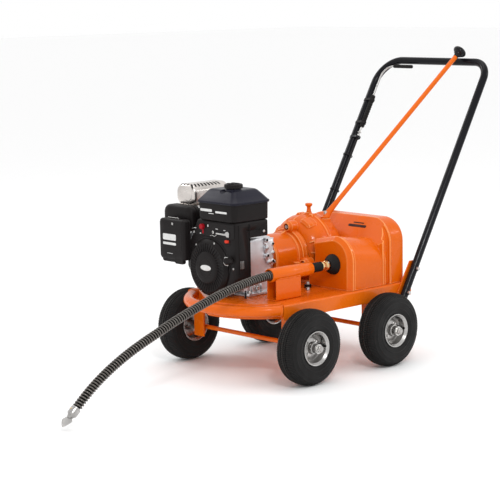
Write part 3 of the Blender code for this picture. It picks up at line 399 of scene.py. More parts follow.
def rounded_path(points, radii, steps=10):
    """Straight runs in space whose inner corners are arcs."""
    points = [Vector(p) for p in points]
    path = [points[0]]
    for before, corner, after, radius in zip(points, points[1:], points[2:], radii):
        back, ahead = (before - corner).normalized(), (after - corner).normalized()
        half = back.angle(ahead) / 2
        centre = corner + (back + ahead).normalized() * radius / math.sin(half)
        reach = radius / math.tan(half)
        first = corner + back * reach - centre
        last = corner + ahead * reach - centre
        path += [centre + first.slerp(last, i / steps) * radius for i in range(steps + 1)]
    path.append(points[-1])
    return path


def bevelled(obj, width, segments=3):
    """Round the edges of an object, and keep its flats flat."""
    mod = obj.modifiers.new("edges", "BEVEL")
    mod.width = width
    mod.segments = segments
    mod.limit_method = "ANGLE"
    mod.angle_limit = math.radians(35)
    mod.harden_normals = True
    return obj


def settle(obj):
    """Apply an object's modifiers to its mesh."""
    graph = bpy.context.evaluated_depsgraph_get()
    mesh = bpy.data.meshes.new_from_object(obj.evaluated_get(graph))
    obj.modifiers.clear()
    obj.data = mesh
    return obj


def combine(obj, operation, tools, sharp=38):
    """Join other closed forms to an object, or cut them out of it; they are used up."""
    for tool in tools:
        mod = obj.modifiers.new(operation, "BOOLEAN")
        mod.operation = operation
        mod.object = tool
    settle(obj)
    for tool in tools:
        bpy.data.objects.remove(tool, do_unlink=True)
    obj.data.shade_smooth()
    obj.data.set_sharp_from_angle(angle=math.radians(sharp))
    return obj


def block(name, low, high, look, body="cart", bevel=0.002, at=None, turn=None, stands_for=()):
    """A block with rounded edges, turned about its own middle if asked."""
    low, high = Vector(low), Vector(high)
    centre = (low + high) / 2
    bm = bmesh.new()
    bmesh.ops.create_cube(bm, size=1, matrix=Matrix.Diagonal((high - low).to_4d()))
    if turn:
        bmesh.ops.rotate(bm, verts=bm.verts, matrix=turn)
    bmesh.ops.translate(bm, verts=bm.verts, vec=at if at else centre)
    return bevelled(piece(name, bm, look, body, stands_for=stands_for), bevel)


def slab(name, outline, normal, thickness, look, body="cart", bevel=0.001, stands_for=()):
    """A flat plate: a run of points in space, thickened both ways along a normal."""
    half = Vector(normal).normalized() * thickness / 2
    rings = [[Vector(p) - half for p in outline], [Vector(p) + half for p in outline]]
    obj = skin(name, rings, look, body, stands_for=stands_for)
    return bevelled(obj, bevel) if bevel else obj


def hexagonal(angle, along, radius):
    """Radius of a hexagon across its flats."""
    return radius / math.cos((angle % (TAU / 6)) - TAU / 12)


def bolt(name, at, direction, size, look, body="cart", washer=True):
    """Hexagon head with a chamfered crown, standing on a washer; size is the width across flats."""
    flat = size / 2
    bm = bmesh.new()
    if washer:
        ring = [(0, 0), (0, flat * 1.45), (size * 0.10, flat * 1.45), (size * 0.12, flat * 1.38),
                (size * 0.12, 0)]
        skin_into(bm, turned_rings(ring, at, direction, 28))
    base = size * 0.12 if washer else 0.0
    sides = [(base, 0), (base, flat), (base + size * 0.50, flat)]
    crown = [(base + size * 0.60, flat * 0.94), (base + size * 0.60, 0)]
    skin_into(bm, turned_rings(sides, at, direction, 36,
                               hexagonal) + turned_rings(crown, at, direction, 36))
    return piece(name, bm, look, body, sharp=30)


def screw_head(name, at, direction, radius, look, body="cart"):
    """Low domed head with a cross recess."""
    dome = [(0, 0), (0, radius), (radius * 0.35, radius * 0.95), (radius * 0.62, radius * 0.62),
            (radius * 0.66, radius * 0.30), (radius * 0.40, radius * 0.22), (radius * 0.40, 0)]
    return turned(name, dome, at, direction, look, body, steps=24)


# ---- cable ----------------------------------------------------------------------------------
# The cable's own route, from the coupling through the guide tube and down to the floor.
CABLE_ROUTE = mm([(19, -152, 366), (-50, -152, 366), (-120, -152, 366), (-190, -152, 366),
                  (-250, -153, 365), (-328, -155, 357), (-426, -159, 342), (-499, -162, 326),
                  (-572, -164, 307), (-640, -167, 287), (-700, -169, 268), (-757, -171, 248),
                  (-820, -173, 226), (-877, -175, 204), (-930, -177, 180), (-980, -179, 154),
                  (-1026, -181, 126), (-1068, -183, 96), (-1104, -184, 66)])
CABLE_DIAMETER = 0.032
CABLE_WIRE = 0.0028             # radius of the wound wire
CABLE_CORE = 0.0104
CABLE_PITCH = 0.0102


def smooth_route(points, count):
    """Evenly counted points on a Catmull-Rom curve through the route's own points."""
    route = [Vector(p) for p in points]
    route = [2 * route[0] - route[1]] + route + [2 * route[-1] - route[-2]]
    spans = len(route) - 3
    result = []
    for i in range(count):
        place_on = i * spans / (count - 1)
        k = min(int(place_on), spans - 1)
        t = place_on - k
        p0, p1, p2, p3 = route[k:k + 4]
        result.append(0.5 * (2 * p1 + (p2 - p0) * t + (2 * p0 - 5 * p1 + 4 * p2 - p3) * t ** 2
                             + (3 * p1 - p0 - 3 * p2 + p3) * t ** 3))
    return result


def helix_round(points, radius, pitch, per_turn):
    """Points of a helix wound round a path at an even pitch."""
    frames = frames_along(points)
    travelled = [0.0]
    for before, after in zip(points, points[1:]):
        travelled.append(travelled[-1] + (after - before).length)
    total = travelled[-1]
    count = int(total / pitch * per_turn)
    helix = []
    k = 0
    for i in range(count + 1):
        s = total * i / count
        while k < len(points) - 2 and travelled[k + 1] < s:
            k += 1
        t = (s - travelled[k]) / (travelled[k + 1] - travelled[k])
        centre = points[k].lerp(points[k + 1], t)
        u, v = frames[k][1], frames[k][2]
        angle = TAU * s / pitch
        helix.append(centre + (u * math.cos(angle) + v * math.sin(angle)) * radius)
    return helix


def add_cable():
    path = smooth_route([on(*p) for p in CABLE_ROUTE], 260)
    bm = bmesh.new()
    outer = CABLE_DIAMETER / 2
    # black core under the wire turns: painted shade in the gaps between them
    skin_into(bm, tube_rings(path, CABLE_CORE, 14))
    core_faces = len(bm.faces)
    skin_into(bm, tube_rings(helix_round(path, outer - CABLE_WIRE, CABLE_PITCH, 20), CABLE_WIRE, 8))
    cable = piece("sectional_cable", bm, "cable_steel", sharp=80, stands_for=["drain_cable"])
    cable.data.materials.append(FINISHES["painted_shade_black"][0])
    for face in cable.data.polygons[:core_faces]:
        face.material_index = 1
    add_cutter(path)


# ---- cutter ---------------------------------------------------------------------------------
def add_cutter(path):
    """Spade cutter in its coupling on the cable's far end: sharpened, with a locking pin."""
    way = (path[-1] - path[-2]).normalized()
    start = path[-1] + way * 0.0004
    socket = mm([(0, 0), (0, 15), (1, 16.4), (4.5, 16.6), (5, 15.8), (7, 15.8), (7.5, 16.6), (20, 16.6),
                 (25, 16), (28, 13.5), (31, 11.2), (38, 8.6), (40, 7), (40, 0)])
    upright = way.cross(Y).normalized()
    side = upright.cross(way)
    bm = bmesh.new()
    skin_into(bm, turned_rings(socket, start, way, 48))
    blade = mm([(8.5, 18), (10.5, 34), (16, 41.5), (23.5, 48), (24, 50), (22, 54.5), (15.5, 63),
                (6, 72.5), (0, 76)])
    outline = blade + [(-a, b) for a, b in reversed(blade[:-1])]
    rows = []
    for thick, shrink in ((-0.0020, 0.0022), (-0.0008, 0.0), (0.0008, 0.0), (0.0020, 0.0022)):
        row = []
        for a, b in outline:
            edge = shrink if b > 0.045 else shrink * 0.3
            scale = 1 - edge / 0.026
            row.append(start + side * a * scale + way * (b - (edge if b > 0.05 else 0)) + upright * thick)
        rows.append(row)
    skin_into(bm, rows)
    cutter = piece("spade_cutter", bm, "steel", sharp=28, stands_for=["cutter_head"])
    pin = mm([(0, 0), (0, 2.6), (0.7, 2.9), (1.2, 2.2), (1.2, 0)])
    locks = []
    for i, facing in enumerate((upright, -upright)):
        locks.append(turned("cutter_pin_%d" % i, pin, start + way * 0.0135 + facing * 0.0164, facing,
                            "brass", steps=24))
    return [cutter] + locks


# ---- wheels ---------------------------------------------------------------------------------
CORNERS = [("front_left", -1), ("front_right", 1), ("rear_left", -1), ("rear_right", 1)]
TREAD_FROM = 0.1195             # radius where the tread bars begin
TREAD_BARS = 126


def both_sides(half):
    """A profile and its mirror image, as one closed run."""
    return half + [(-along, radius) for along, radius in reversed(half)]


def tyre_profile():
    """From the bead over the ringed sidewall and the grooved tread."""
    wall = mm([(25, 58.5), (27, 55), (32.5, 54.2), (35, 57.5), (35.8, 62), (37.2, 65), (39.2, 70),
               (40.4, 74.5), (40.8, 77), (41.7, 77.8), (42, 79), (41.7, 80.2), (41, 81.2), (41.5, 87),
               (41.6, 93), (41.4, 98.5), (41.9, 99.3), (42, 100.5), (41.7, 101.7), (40.8, 102.6),
               (39.8, 107.5), (38.5, 112), (38.8, 113), (38.5, 114.5), (37.2, 116)])
    crown = mm([(31.8, 123.5), (27, 127.2), (21.5, 129.8), (17.5, 130.8), (16.8, 128.2), (14.2, 128.4),
                (13.5, 131.4), (8, 132.1), (7.2, 129.4), (4.6, 129.5), (4, 132.4)])
    return wall + [(0.0352, TREAD_FROM)] + crown + [(0.0, TYRE_RADIUS)]


def tread(angle, along, radius):
    """Bars across the tread and down the shoulder, cut between by narrow grooves."""
    if radius < TREAD_FROM - 0.0045:
        return radius
    gap = math.cos(angle * TREAD_BARS) < -0.4
    deep = 0.0022 if radius >= TREAD_FROM else 0.0014
    return radius - (deep if gap else 0.0)


def rim_profile():
    """Pressed rim, dish and hub, dished outwards: positive along is the outer side."""
    outside = mm([(38.5, 60.2), (39.8, 59.6), (40.2, 58), (39.4, 56), (36.8, 54), (34.8, 51.5),
                  (33, 50), (18, 49.2), (8, 48.6), (5, 46.5), (5.2, 43), (7.5, 39.5), (11.2, 35),
                  (13, 30), (12.8, 24.5), (14, 21.5), (16.5, 20.2), (29, 20), (30, 18.5), (30, 17),
                  (45, 16.5), (46, 15.5), (46, 11.8), (44.5, 11.2)])
    inside = mm([(-54, 15.5), (-52.5, 16.5), (-6, 16.5), (4, 26), (3, 40), (-1, 47.5), (-8, 49),
                 (-33, 50), (-34.8, 51.5), (-36.8, 54), (-39.4, 56), (-40.2, 58), (-39.8, 59.6),
                 (-38.5, 60.2), (-35, 55), (-33, 53), (33, 53), (35, 55)])
    return outside + [(0.0445, RIM_BORE), (-0.0540, RIM_BORE)] + inside


TYRE_RADIUS = (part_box("tyre_front_left")[1].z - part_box("tyre_front_left")[0].z) / 2
RIM_BORE = 0.0083


def add_wheels():
    half = tyre_profile()
    inner = [(-0.0200, 0.0600), (0.0200, 0.0600)]
    for corner, side in CORNERS:
        body = "wheel_" + corner
        hub = middle("tyre_" + corner)
        out = Y * side
        turned("tread_" + corner, both_sides(half) + inner, hub, out, "tyre", body, steps=TREAD_BARS * 3,
               wrap=True, shape=tread, sharp=30, stands_for=["tyre_" + corner])
        turned("wheel_rim_" + corner, rim_profile(), hub, out, "zinc", body, steps=72, wrap=True, sharp=28,
               stands_for=["rim_" + corner])
        for i in range(4):
            angle = TAU * (i + 0.5) / 4
            spot = hub + out * 0.0126 + X * 0.0275 * math.cos(angle) + Z * 0.0275 * math.sin(angle)
            bolt("rim_bolt_%s_%d" % (corner, i), spot, out, 0.008, "zinc", body, washer=False)
        valve = hub + out * 0.0060 + X * 0.0415
        turned("valve_" + corner, mm([(0, 0), (0, 4.5), (9, 3.8), (12, 2.8), (22, 2.8), (22.5, 3.6),
                                      (29, 3.6), (30, 2.8), (30, 0)]), valve,
               out + X * 0.25, "rubber", body, steps=16)
        add_axle_end(corner, out)


def add_axle_end(corner, out):
    """Washer and nut on the axle, with the axle's turned end showing in it."""
    nut = middle("axle_nut_" + corner)
    bore = 0.0081
    bm = bmesh.new()
    skin_into(bm, turned_rings([(-0.0062, bore), (-0.0062, 0.0165), (-0.0042, 0.0165), (-0.0042, bore)],
                               nut, out, 32), wrap=True)
    skin_into(bm, turned_rings([(-0.0040, bore), (-0.0040, 0.0112), (0.0048, 0.0112)], nut, out, 48,
                               hexagonal)
              + turned_rings([(0.0062, 0.0104), (0.0062, bore + 0.0006), (0.0052, bore)], nut, out, 48),
              wrap=True)
    piece("nut_" + corner, bm, "zinc", sharp=30, stands_for=["axle_nut_" + corner])
    low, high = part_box(corner.split("_")[0] + "_axle")
    end = Vector((nut.x, high.y if out.y > 0 else low.y, nut.z))
    thread = [(-0.0105, 0.0079), (-0.0105, 0.0083)]
    thread += [(-0.0100 + 0.0010 * i, 0.0083 - 0.0004 * (i % 2)) for i in range(10)]
    thread += [(0.0006, 0.0072), (0.0010, 0.0060), (0.0010, 0)]
    turned("axle_stub_" + corner, thread, end, out, "steel", steps=28)


def add_axles():
    for end in ("front", "rear"):
        low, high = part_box(end + "_axle")
        centre = (low + high) / 2
        reach, radius = (high.y - low.y) / 2, (high.z - low.z) / 2
        turned(end + "_axle_bar", [(-reach, 0), (-reach, radius - 0.0012), (-reach + 0.0012, radius),
                                   (reach - 0.0012, radius), (reach, radius - 0.0012), (reach, 0)],
               centre, Y, "orange_paint", steps=36, stands_for=[end + "_axle"])


# ---- deck -----------------------------------------------------------------------------------
RAIL_RADIUS = (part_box("front_rail")[1].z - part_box("front_rail")[0].z) / 2
RAIL_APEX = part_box("front_rail")[0].x + RAIL_RADIUS - CART_X
DECK_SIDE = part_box("deck_pan")[1].y
DECK_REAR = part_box("deck_pan")[1].x - CART_X
DECK_FRONT = -0.25
DECK_SKIRT = DECK_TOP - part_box("deck_pan")[0].z
SHEET = 0.004


def bow(inside, past_end, steps):
    """The curved front line of the deck: an arc some way inside the rail's own line."""
    corner = DECK_SIDE - RAIL_RADIUS
    rise = DECK_FRONT - RAIL_APEX
    radius = (corner * corner + rise * rise) / (2 * rise)
    sweep = math.degrees(math.asin(corner / radius) + past_end / radius)
    return arc((RAIL_APEX + radius, 0), radius - inside, 180 - sweep, 180 + sweep, steps)


def deck_outline(inset, z):
    side = DECK_SIDE - inset
    corner = DECK_FRONT - 0.008 + 1.2 * inset
    rear = DECK_REAR - inset
    r = 0.010
    points = arc((rear - r, -side + r), r, -90, 0, 4) + arc((rear - r, side - r), r, 0, 90, 4)
    front = bow(RAIL_RADIUS + 0.0012 + inset, 0.002 + inset, 40)
    apex = RAIL_APEX + RAIL_RADIUS + 0.0012 + inset
    for i, (x, y) in enumerate(front):
        if y > 0.02:
            front[i] = (max(x, apex + (front[0][0] - apex) * (y - 0.02) / (front[0][1] - 0.02)), y)
    points += [(corner, side)] + front + [(corner, -side)]
    return [on(x, y, z) for x, y in points]


def add_deck():
    """Folded tray: a soft bend along its edge, skirts all round, open below."""
    fold = 0.007
    bottom = DECK_TOP - DECK_SKIRT
    rings = [deck_outline(SHEET + 0.002, DECK_TOP - SHEET), deck_outline(SHEET, DECK_TOP - SHEET - 0.002),
             deck_outline(SHEET, bottom), deck_outline(0, bottom)]
    for i in range(7):
        angle = math.radians(90 * i / 6)
        rings.append(deck_outline(fold * (1 - math.cos(angle)), DECK_TOP - fold + fold * math.sin(angle)))
    skin("deck_tray", rings, "orange_paint", stands_for=["deck_pan"])
    z = middle("front_rail").z
    path = [on(x, y, z) for x, y in bow(0, 0, 48)]
    tube("bumper_rail", path, RAIL_RADIUS, "orange_paint", sides=32, stands_for=["front_rail"])
    for i in (0, -1):
        inward = (path[1] - path[0]).normalized() if i == 0 else (path[-2] - path[-1]).normalized()
        lip = [(0.0, RAIL_RADIUS + 0.0002), (0.0005, RAIL_RADIUS + 0.0026), (0.0030, RAIL_RADIUS + 0.0030),
               (0.0065, RAIL_RADIUS + 0.0012), (0.0080, RAIL_RADIUS + 0.0001)]
        turned("rail_weld_%d" % (i + 2), lip, path[i] - inward * 0.001, inward, "orange_paint", steps=48,
               shape=weld_ripple)


def weld_ripple(angle, along, radius):
    return radius + 0.0004 * math.sin(angle * 22) * (1 if 0.0004 < along < 0.007 else 0)


def add_legs():
    for corner, side in CORNERS:
        low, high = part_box("leg_" + corner)
        thick = 0.006
        outer = high.y if side > 0 else low.y
        web = (high.y - low.y) * side
        x0, x1 = low.x, high.x
        outline = [(x0, outer), (x1, outer), (x1, outer - thick * side),
                   (x0 + thick * 1.8, outer - thick * side),
                   (x0 + thick, outer - thick * 1.8 * side), (x0 + thick, outer - web), (x0, outer - web)]
        z = (low.z + high.z) / 2
        leg = slab("angle_leg_" + corner, [Vector((x, y, z)) for x, y in outline], Z, high.z - low.z,
                   "orange_paint", bevel=0, stands_for=["leg_" + corner])
        hub = middle("tyre_" + corner)
        at = Vector((hub.x, outer, hub.z))
        bevelled(combine(leg, "DIFFERENCE", [drill(-0.03, 0.03, 0.0084, at, Y, 32)]), 0.0012, 2)
        collar = mm([(0.3, 8.6), (0.3, 15), (3, 15), (3.6, 14), (3.6, 8.6)])
        turned("axle_collar_" + corner, collar, at, Y * side, "zinc", steps=32, wrap=True)


# ---- handle ---------------------------------------------------------------------------------
LEAN = 0.59
LEG_FOOT_X = 0.200
HANDLE_SIDE = 0.268
HANDLE_RADIUS = 0.0143
HANDLE_TOP = 1.056
HANDLE_BOTTOM = 0.226
CONTROL_Y = 0.2385
CONTROL_AHEAD = 0.010
CONTROL_Z = 1.029
CONTROL_RADIUS = 0.0035
LEG_WAY = Vector((LEAN, 0, 1)).normalized()


def on_legs(y, z, ahead=0.0):
    """A point in the leaning plane of the handle, or some way ahead of it."""
    return on(LEG_FOOT_X + LEAN * z, y, z) + Vector((-LEG_WAY.z, 0, LEG_WAY.x)) * ahead


def beside_leg(z):
    return on_legs(CONTROL_Y, z, CONTROL_AHEAD)


def add_handle():
    corners = [on_legs(-HANDLE_SIDE, HANDLE_BOTTOM), on_legs(-HANDLE_SIDE, HANDLE_TOP),
               on_legs(HANDLE_SIDE, HANDLE_TOP), on_legs(HANDLE_SIDE, HANDLE_BOTTOM)]
    tube("push_handle", rounded_path(corners, (0.068, 0.105), steps=18), HANDLE_RADIUS, "black_paint",
         sides=36, stands_for=["handle_bar"])
    for side, hand in ((-1, "left"), (1, "right")):
        low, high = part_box("handle_bracket_" + hand)
        y = (low.y + high.y) / 2
        outline = [on(LEG_FOOT_X + LEAN * z + shift, y, z)
                   for z, shift in ((low.z, -0.026), (low.z, 0.018), (high.z, 0.018), (high.z, -0.022))]
        slab("bracket_" + hand, outline, Y, high.y - low.y, "orange_paint", "cart", 0.0012,
             stands_for=["handle_bracket_" + hand])
        out = Y * side
        for i, z in enumerate((0.243, 0.325)):
            spot = on_legs(side * (HANDLE_SIDE + HANDLE_RADIUS - 0.0006), z)
            bolt("handle_bolt_%s_%d" % (hand, i), spot, out, 0.013, "zinc")
            saddle = mm([(0, 0), (0, 8.5), (3.5, 9.8), (5, 9.8), (5, 0)])
            turned("handle_spacer_%s_%d" % (hand, i), saddle, on_legs(side * (HANDLE_SIDE + 0.0105), z),
                   out, "black_paint", steps=28)


def add_control():
    """Bent throttle rod with its grip, the ribbed sleeve it slides in, and its clips."""
    bend = 0.048
    rod_end = on_legs(0.0965, CONTROL_Z, CONTROL_AHEAD)
    path = rounded_path([beside_leg(0.772), beside_leg(CONTROL_Z), rod_end], (bend,), steps=14)
    tube("throttle_rod", path, CONTROL_RADIUS, "zinc", "control", sides=18, stands_for=["control_lever"])
    stop = mm([(0, 0), (0, 6.2), (1, 7), (3, 7), (4, 6.2), (4, 0)])
    turned("rod_stop", stop, beside_leg(0.775) - LEG_WAY * 0.002, LEG_WAY, "zinc", "control", steps=28)
    grip_from = on_legs(CONTROL_Y - bend - 0.002, CONTROL_Z, CONTROL_AHEAD)
    length = (grip_from - rod_end).length + 0.0025
    profile = [(0, CONTROL_RADIUS), (0, 0.0062), (0.0010, 0.0070)]
    for i in range(11):
        along = 0.006 + i * (length - 0.014) / 10
        profile += [(along - 0.0012, 0.0070), (along - 0.0008, 0.0064), (along + 0.0008, 0.0064),
                    (along + 0.0012, 0.0070)]
    profile += [(length - 0.0025, 0.0070), (length - 0.0008, 0.0060), (length, 0.0040), (length, 0)]
    turned("throttle_grip", profile, grip_from, -Y, "rubber", "control", steps=28,
           stands_for=["control_grip"])
    low, high = beside_leg(0.795), beside_leg(0.915)
    tall = (high - low).length
    bore = CONTROL_RADIUS + 0.0006
    profile = [(0, bore), (0, 0.0078), (0.002, 0.0088)]
    ribs = 13
    for i in range(ribs):
        along = 0.008 + i * (tall - 0.016) / (ribs - 1)
        profile += [(along - 0.0030, 0.0088), (along - 0.0020, 0.0097), (along + 0.0020, 0.0097),
                    (along + 0.0030, 0.0088)]
    profile += [(tall - 0.002, 0.0088), (tall, 0.0078), (tall, bore)]
    turned("ribbed_sleeve", profile, low, LEG_WAY, "rubber", steps=32, wrap=True,
           stands_for=["control_sleeve"])
    for i, z in enumerate((0.812, 0.898)):
        ring_round_leg("sleeve_clip_%d" % i, z, 0.0045, "black_plastic")
    ring_round_leg("rod_clip", 0.757, 0.004, "black_paint")


def ring_round_leg(name, z, half, look):
    """A band that ties the throttle rod to the right leg: an outline round both, thickened."""
    leg, rod = on_legs(HANDLE_SIDE, z), beside_leg(z)
    side, ahead = Y, Vector((-LEG_WAY.z, 0, LEG_WAY.x))
    big, small = HANDLE_RADIUS + 0.0004, 0.0103
    line = rod - leg
    heading = math.degrees(math.atan2(line.dot(ahead), line.dot(side)))
    spread = math.degrees(math.acos((big - small) / line.length))
    rings = []
    for extra, along in ((0, -half), (0.0014, -half), (0.0014, half), (0, half)):
        outline = arc((0, 0), big + extra, heading + spread, heading + 360 - spread, 20)
        at_rod = (line.dot(side), line.dot(ahead))
        outline += arc(at_rod, small + extra, heading - spread, heading + spread, 12)
        rings.append([leg + side * a + ahead * b + LEG_WAY * along for a, b in outline])
    skin(name, rings, look, wrap=True)


def add_control_cable():
    """Sheathed cable from the sleeve down the leg and over the deck to the carburettor."""
    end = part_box("air_cleaner_base")[1].x - CART_X + 0.0003
    run = [beside_leg(0.768), beside_leg(0.330), on(0.310, 0.226, DECK_TOP + 0.012),
           on(-0.085, 0.226, DECK_TOP + 0.012), on(-0.085, 0.205, 0.555), on(end, 0.205, 0.555)]
    path = rounded_path(run, (0.10, 0.08, 0.05, 0.04), steps=14)
    tube("throttle_cable", path, 0.0040, "black_plastic", sides=14, stands_for=["control_cable"])
    ferrule = mm([(0, 4.1), (0, 5.2), (12, 5.2), (14, 4.6), (14, 4.1)])
    turned("cable_ferrule", ferrule, path[0] - LEG_WAY * 0.014, LEG_WAY, "zinc", steps=20, wrap=True)
    for i, z in enumerate((0.42, 0.56, 0.69)):
        tie = turned_rings(mm([(-2, 18.2), (-2, 19.4), (2, 19.4), (2, 18.2)]),
                           on_legs(HANDLE_SIDE - 0.006, z, 0.002), LEG_WAY, 36)
        skin("cable_tie_%d" % i, tie, "black_plastic", wrap=True)


def add_shift_lever():
    """Lever rod with its cast foot on the shift shaft, and the ball knob."""
    pivot = Vector(JOINTS["shift_swing"]["pos_m"])
    start = pivot + Vector((0.0130, -0.0030, 0.019))
    top = on(0.784, -0.1365, 1.077)
    way = (top - start).normalized()
    tube("lever_rod", [start + way * 0.030, start.lerp(top, 0.5), top], 0.0088, "orange_paint", "shift",
         sides=28)
    foot = []
    for i in range(15):
        t = i / 14
        spot = pivot.lerp(start, min(1.0, t * 2.2)) + (way * max(0.0, t - 0.45) * 0.115)
        wide = 0.0215 + (0.0092 - 0.0215) * (t ** 0.6)
        deep = 0.0160 + (0.0090 - 0.0160) * t
        lean = (Z * (1 - t) + way * t).normalized()
        u = lean.cross(Y).normalized()
        v = lean.cross(u)
        foot.append(ellipse(spot, u * deep, v * wide * 0.82, 24))
    skin("lever_foot", foot, "orange_paint", "shift", stands_for=["shift_lever"])
    profile = mm([(0, 0), (0, 9.6), (6, 10), (9, 12), (12, 16)])
    profile += [(0.0270 + 0.0150 * math.sin(math.radians(a)), 0.0262 * math.cos(math.radians(a)))
                for a in range(-50, 90, 8)] + [(0.0420, 0)]
    turned("ball_knob", profile, top + way * 0.0003, way, "black_gloss", "shift", steps=40,
           stands_for=["shift_knob"])
    turned("foot_ring", mm([(0, 15), (0, 17.6), (1.5, 18.4), (4.5, 18.4), (5.5, 17)]),
           pivot + Z * 0.0002, Z, "orange_paint", "shift", steps=40)


# ---- guide tube, boot and coupling ----------------------------------------------------------
def add_guide():
    low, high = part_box("guide_tube")
    centre = (low + high) / 2
    outer, length = (high.z - low.z) / 2, high.x - low.x
    inner = outer - 0.0038
    profile = [(0, inner + 0.0006), (0.0008, outer - 0.0006), (0.0018, outer), (length - 0.0018, outer),
               (length - 0.0008, outer - 0.0006), (length, inner + 0.0006), (length - 0.001, inner),
               (0.001, inner)]
    turned("guide_pipe", profile, Vector((low.x, centre.y, centre.z)), X, "orange_paint", steps=64,
           wrap=True, stands_for=["guide_tube"])
    b_low, b_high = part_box("guide_bracket")
    half = (b_high.y - b_low.y) / 2
    bend = 0.006
    y = (b_low.y + b_high.y) / 2
    left = arc((y - half + bend, b_low.z + bend), bend, 180, 270, 5)
    right = arc((y + half - bend, b_low.z + bend), bend, 270, 360, 5)
    outside = [(y - half, b_high.z)] + left + right + [(y + half, b_high.z)]
    inside = [(y + half - SHEET, b_high.z)]
    inside += arc((y + half - bend, b_low.z + bend), bend - SHEET, 360, 270, 5)
    inside += arc((y - half + bend, b_low.z + bend), bend - SHEET, 270, 180, 5)
    inside += [(y - half + SHEET, b_high.z)]
    x = (b_low.x + b_high.x) / 2
    slab("guide_saddle", [Vector((x, a, b)) for a, b in outside + inside], X, b_high.x - b_low.x,
         "orange_paint", "cart", 0.0010, stands_for=["guide_bracket"])
    for side in (-1, 1):
        bead = [Vector((b_low.x + 0.004 + (b_high.x - b_low.x - 0.008) * i / 40, y + side * (half - 0.0002),
                        b_high.z + 0.0012)) for i in range(41)]
        tube("saddle_weld_%d" % side, bead, lambda i: 0.0022 + 0.0004 * (i % 2), "orange_paint", sides=10)
    bolt("saddle_bolt_rear", on(-0.080, -0.098, DECK_TOP + 0.0003), Z, 0.013, "orange_paint")


def add_cable_end():
    """Black adapter sleeve of the cable, brass coupling and rubber boot on the cover's nose."""
    sleeve_from = on(-0.046, SPINDLE_Y, SPINDLE_Z)
    profile = [(0, 0.0), (0, 0.0166), (0.001, 0.0172)]
    for i in range(16):
        along = 0.003 + i * 0.0040
        profile += [(along, 0.0172), (along + 0.0006, 0.0166), (along + 0.0014, 0.0166),
                    (along + 0.0020, 0.0172)]
    profile += [(0.0655, 0.0172), (0.0662, 0.0162), (0.0662, 0)]
    turned("cable_adapter", profile, sleeve_from, X, "rubber", "spindle", steps=40)
    start = Vector((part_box("cable_coupling")[0].x, SPINDLE_Y, SPINDLE_Z))
    bm = bmesh.new()
    skin_into(bm, turned_rings([(0.0005, 0), (0.0005, 0.0145), (0.0015, 0.0152)], start, X, 48)
              + turned_rings(mm([(3, 16.5), (3.5, 16.8), (12.5, 16.8), (13.2, 16.5)]), start, X,
                             48, hexagonal_soft)
              + turned_rings(mm([(15, 15), (15, 14.2), (21.5, 14.2), (22.5, 15.2), (23.5, 17.2),
                                 (25, 17.6), (33.5, 17.6), (35, 16.8), (35.5, 15), (35.5, 0)]), start, X,
                             48))
    piece("brass_coupling", bm, "brass", "spindle", sharp=30, stands_for=["cable_coupling"])
    pin_at = start + X * 0.0290 + Vector((0, -0.0130, 0.0118))
    screw_head("coupling_pin", pin_at, Vector((0, -0.74, 0.67)), 0.0040, "steel", "spindle")
    base = Vector((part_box("cable_boot")[0].x, SPINDLE_Y, SPINDLE_Z))
    profile = mm([(0, 18.5), (0, 20.5), (1.2, 21.4), (3, 21.6), (4.2, 22.2), (6, 24), (8.5, 26.2),
                  (11, 28.5), (14, 31), (17, 33.2), (20, 35), (23, 36.4), (25.5, 37.1), (27.5, 37.4),
                  (28.3, 37), (28.5, 35), (27, 33), (20, 29), (9, 20)])
    turned("rubber_boot", profile, base, X, "rubber", steps=64, wrap=True, stands_for=["cable_boot"])


def hexagonal_soft(angle, along, radius):
    return min(hexagonal(angle, along, radius * 0.93), radius * 1.04)


# ---- castings and mouldings -----------------------------------------------------------------
def box_into(bm, low, high):
    low, high = Vector(low), Vector(high)
    place = Matrix.Translation((low + high) / 2) @ Matrix.Diagonal((high - low).to_4d())
    bmesh.ops.create_cube(bm, size=1, matrix=place)


def tool(rings, wrap=False):
    """A closed form used to cut or join another piece; it never shows."""
    return skin("tool", rings, None, None, wrap=wrap)


def drill(low, high, radius, at, direction, steps):
    return tool(turned_rings(rod(low, high, radius), at, direction, steps))


def box_tool(low, high):
    bm = bmesh.new()
    box_into(bm, low, high)
    return piece("tool", bm, None, None)


def cast(obj, voxel, rounds):
    """Melt overlapping forms into one skin with soft fillets, as a casting or a moulding has."""
    melt = obj.modifiers.new("melt", "REMESH")
    melt.mode = "VOXEL"
    melt.voxel_size = voxel
    soften = obj.modifiers.new("soften", "SMOOTH")
    soften.iterations = rounds
    soften.factor = 0.5
    settle(obj)
    obj.data.shade_smooth()
    return obj


def about(centre_y, centre_z, radius, degrees):
    """A place round a lengthwise axis: 0 degrees is to the right of the cart, 90 is up."""
    angle = math.radians(degrees)
    return centre_y + radius * math.cos(angle), centre_z + radius * math.sin(angle)


def section_rings(levels, low, high, corner, steps, place):
    """Rounded rectangles stacked along one direction: each level is a place, a shrink and a corner."""
    rings = []
    for level, shrink, radius in levels:
        outline = round_rect((low[0] + shrink, low[1] + shrink), (high[0] - shrink, high[1] - shrink),
                             radius if radius else corner, steps)
        rings.append([place(level, a, b) for a, b in outline])
    return rings


def upright(z, x, y):
    """For rings stacked from the ground up; rings stacked along the cart are placed by on()."""
    return on(x, y, z)


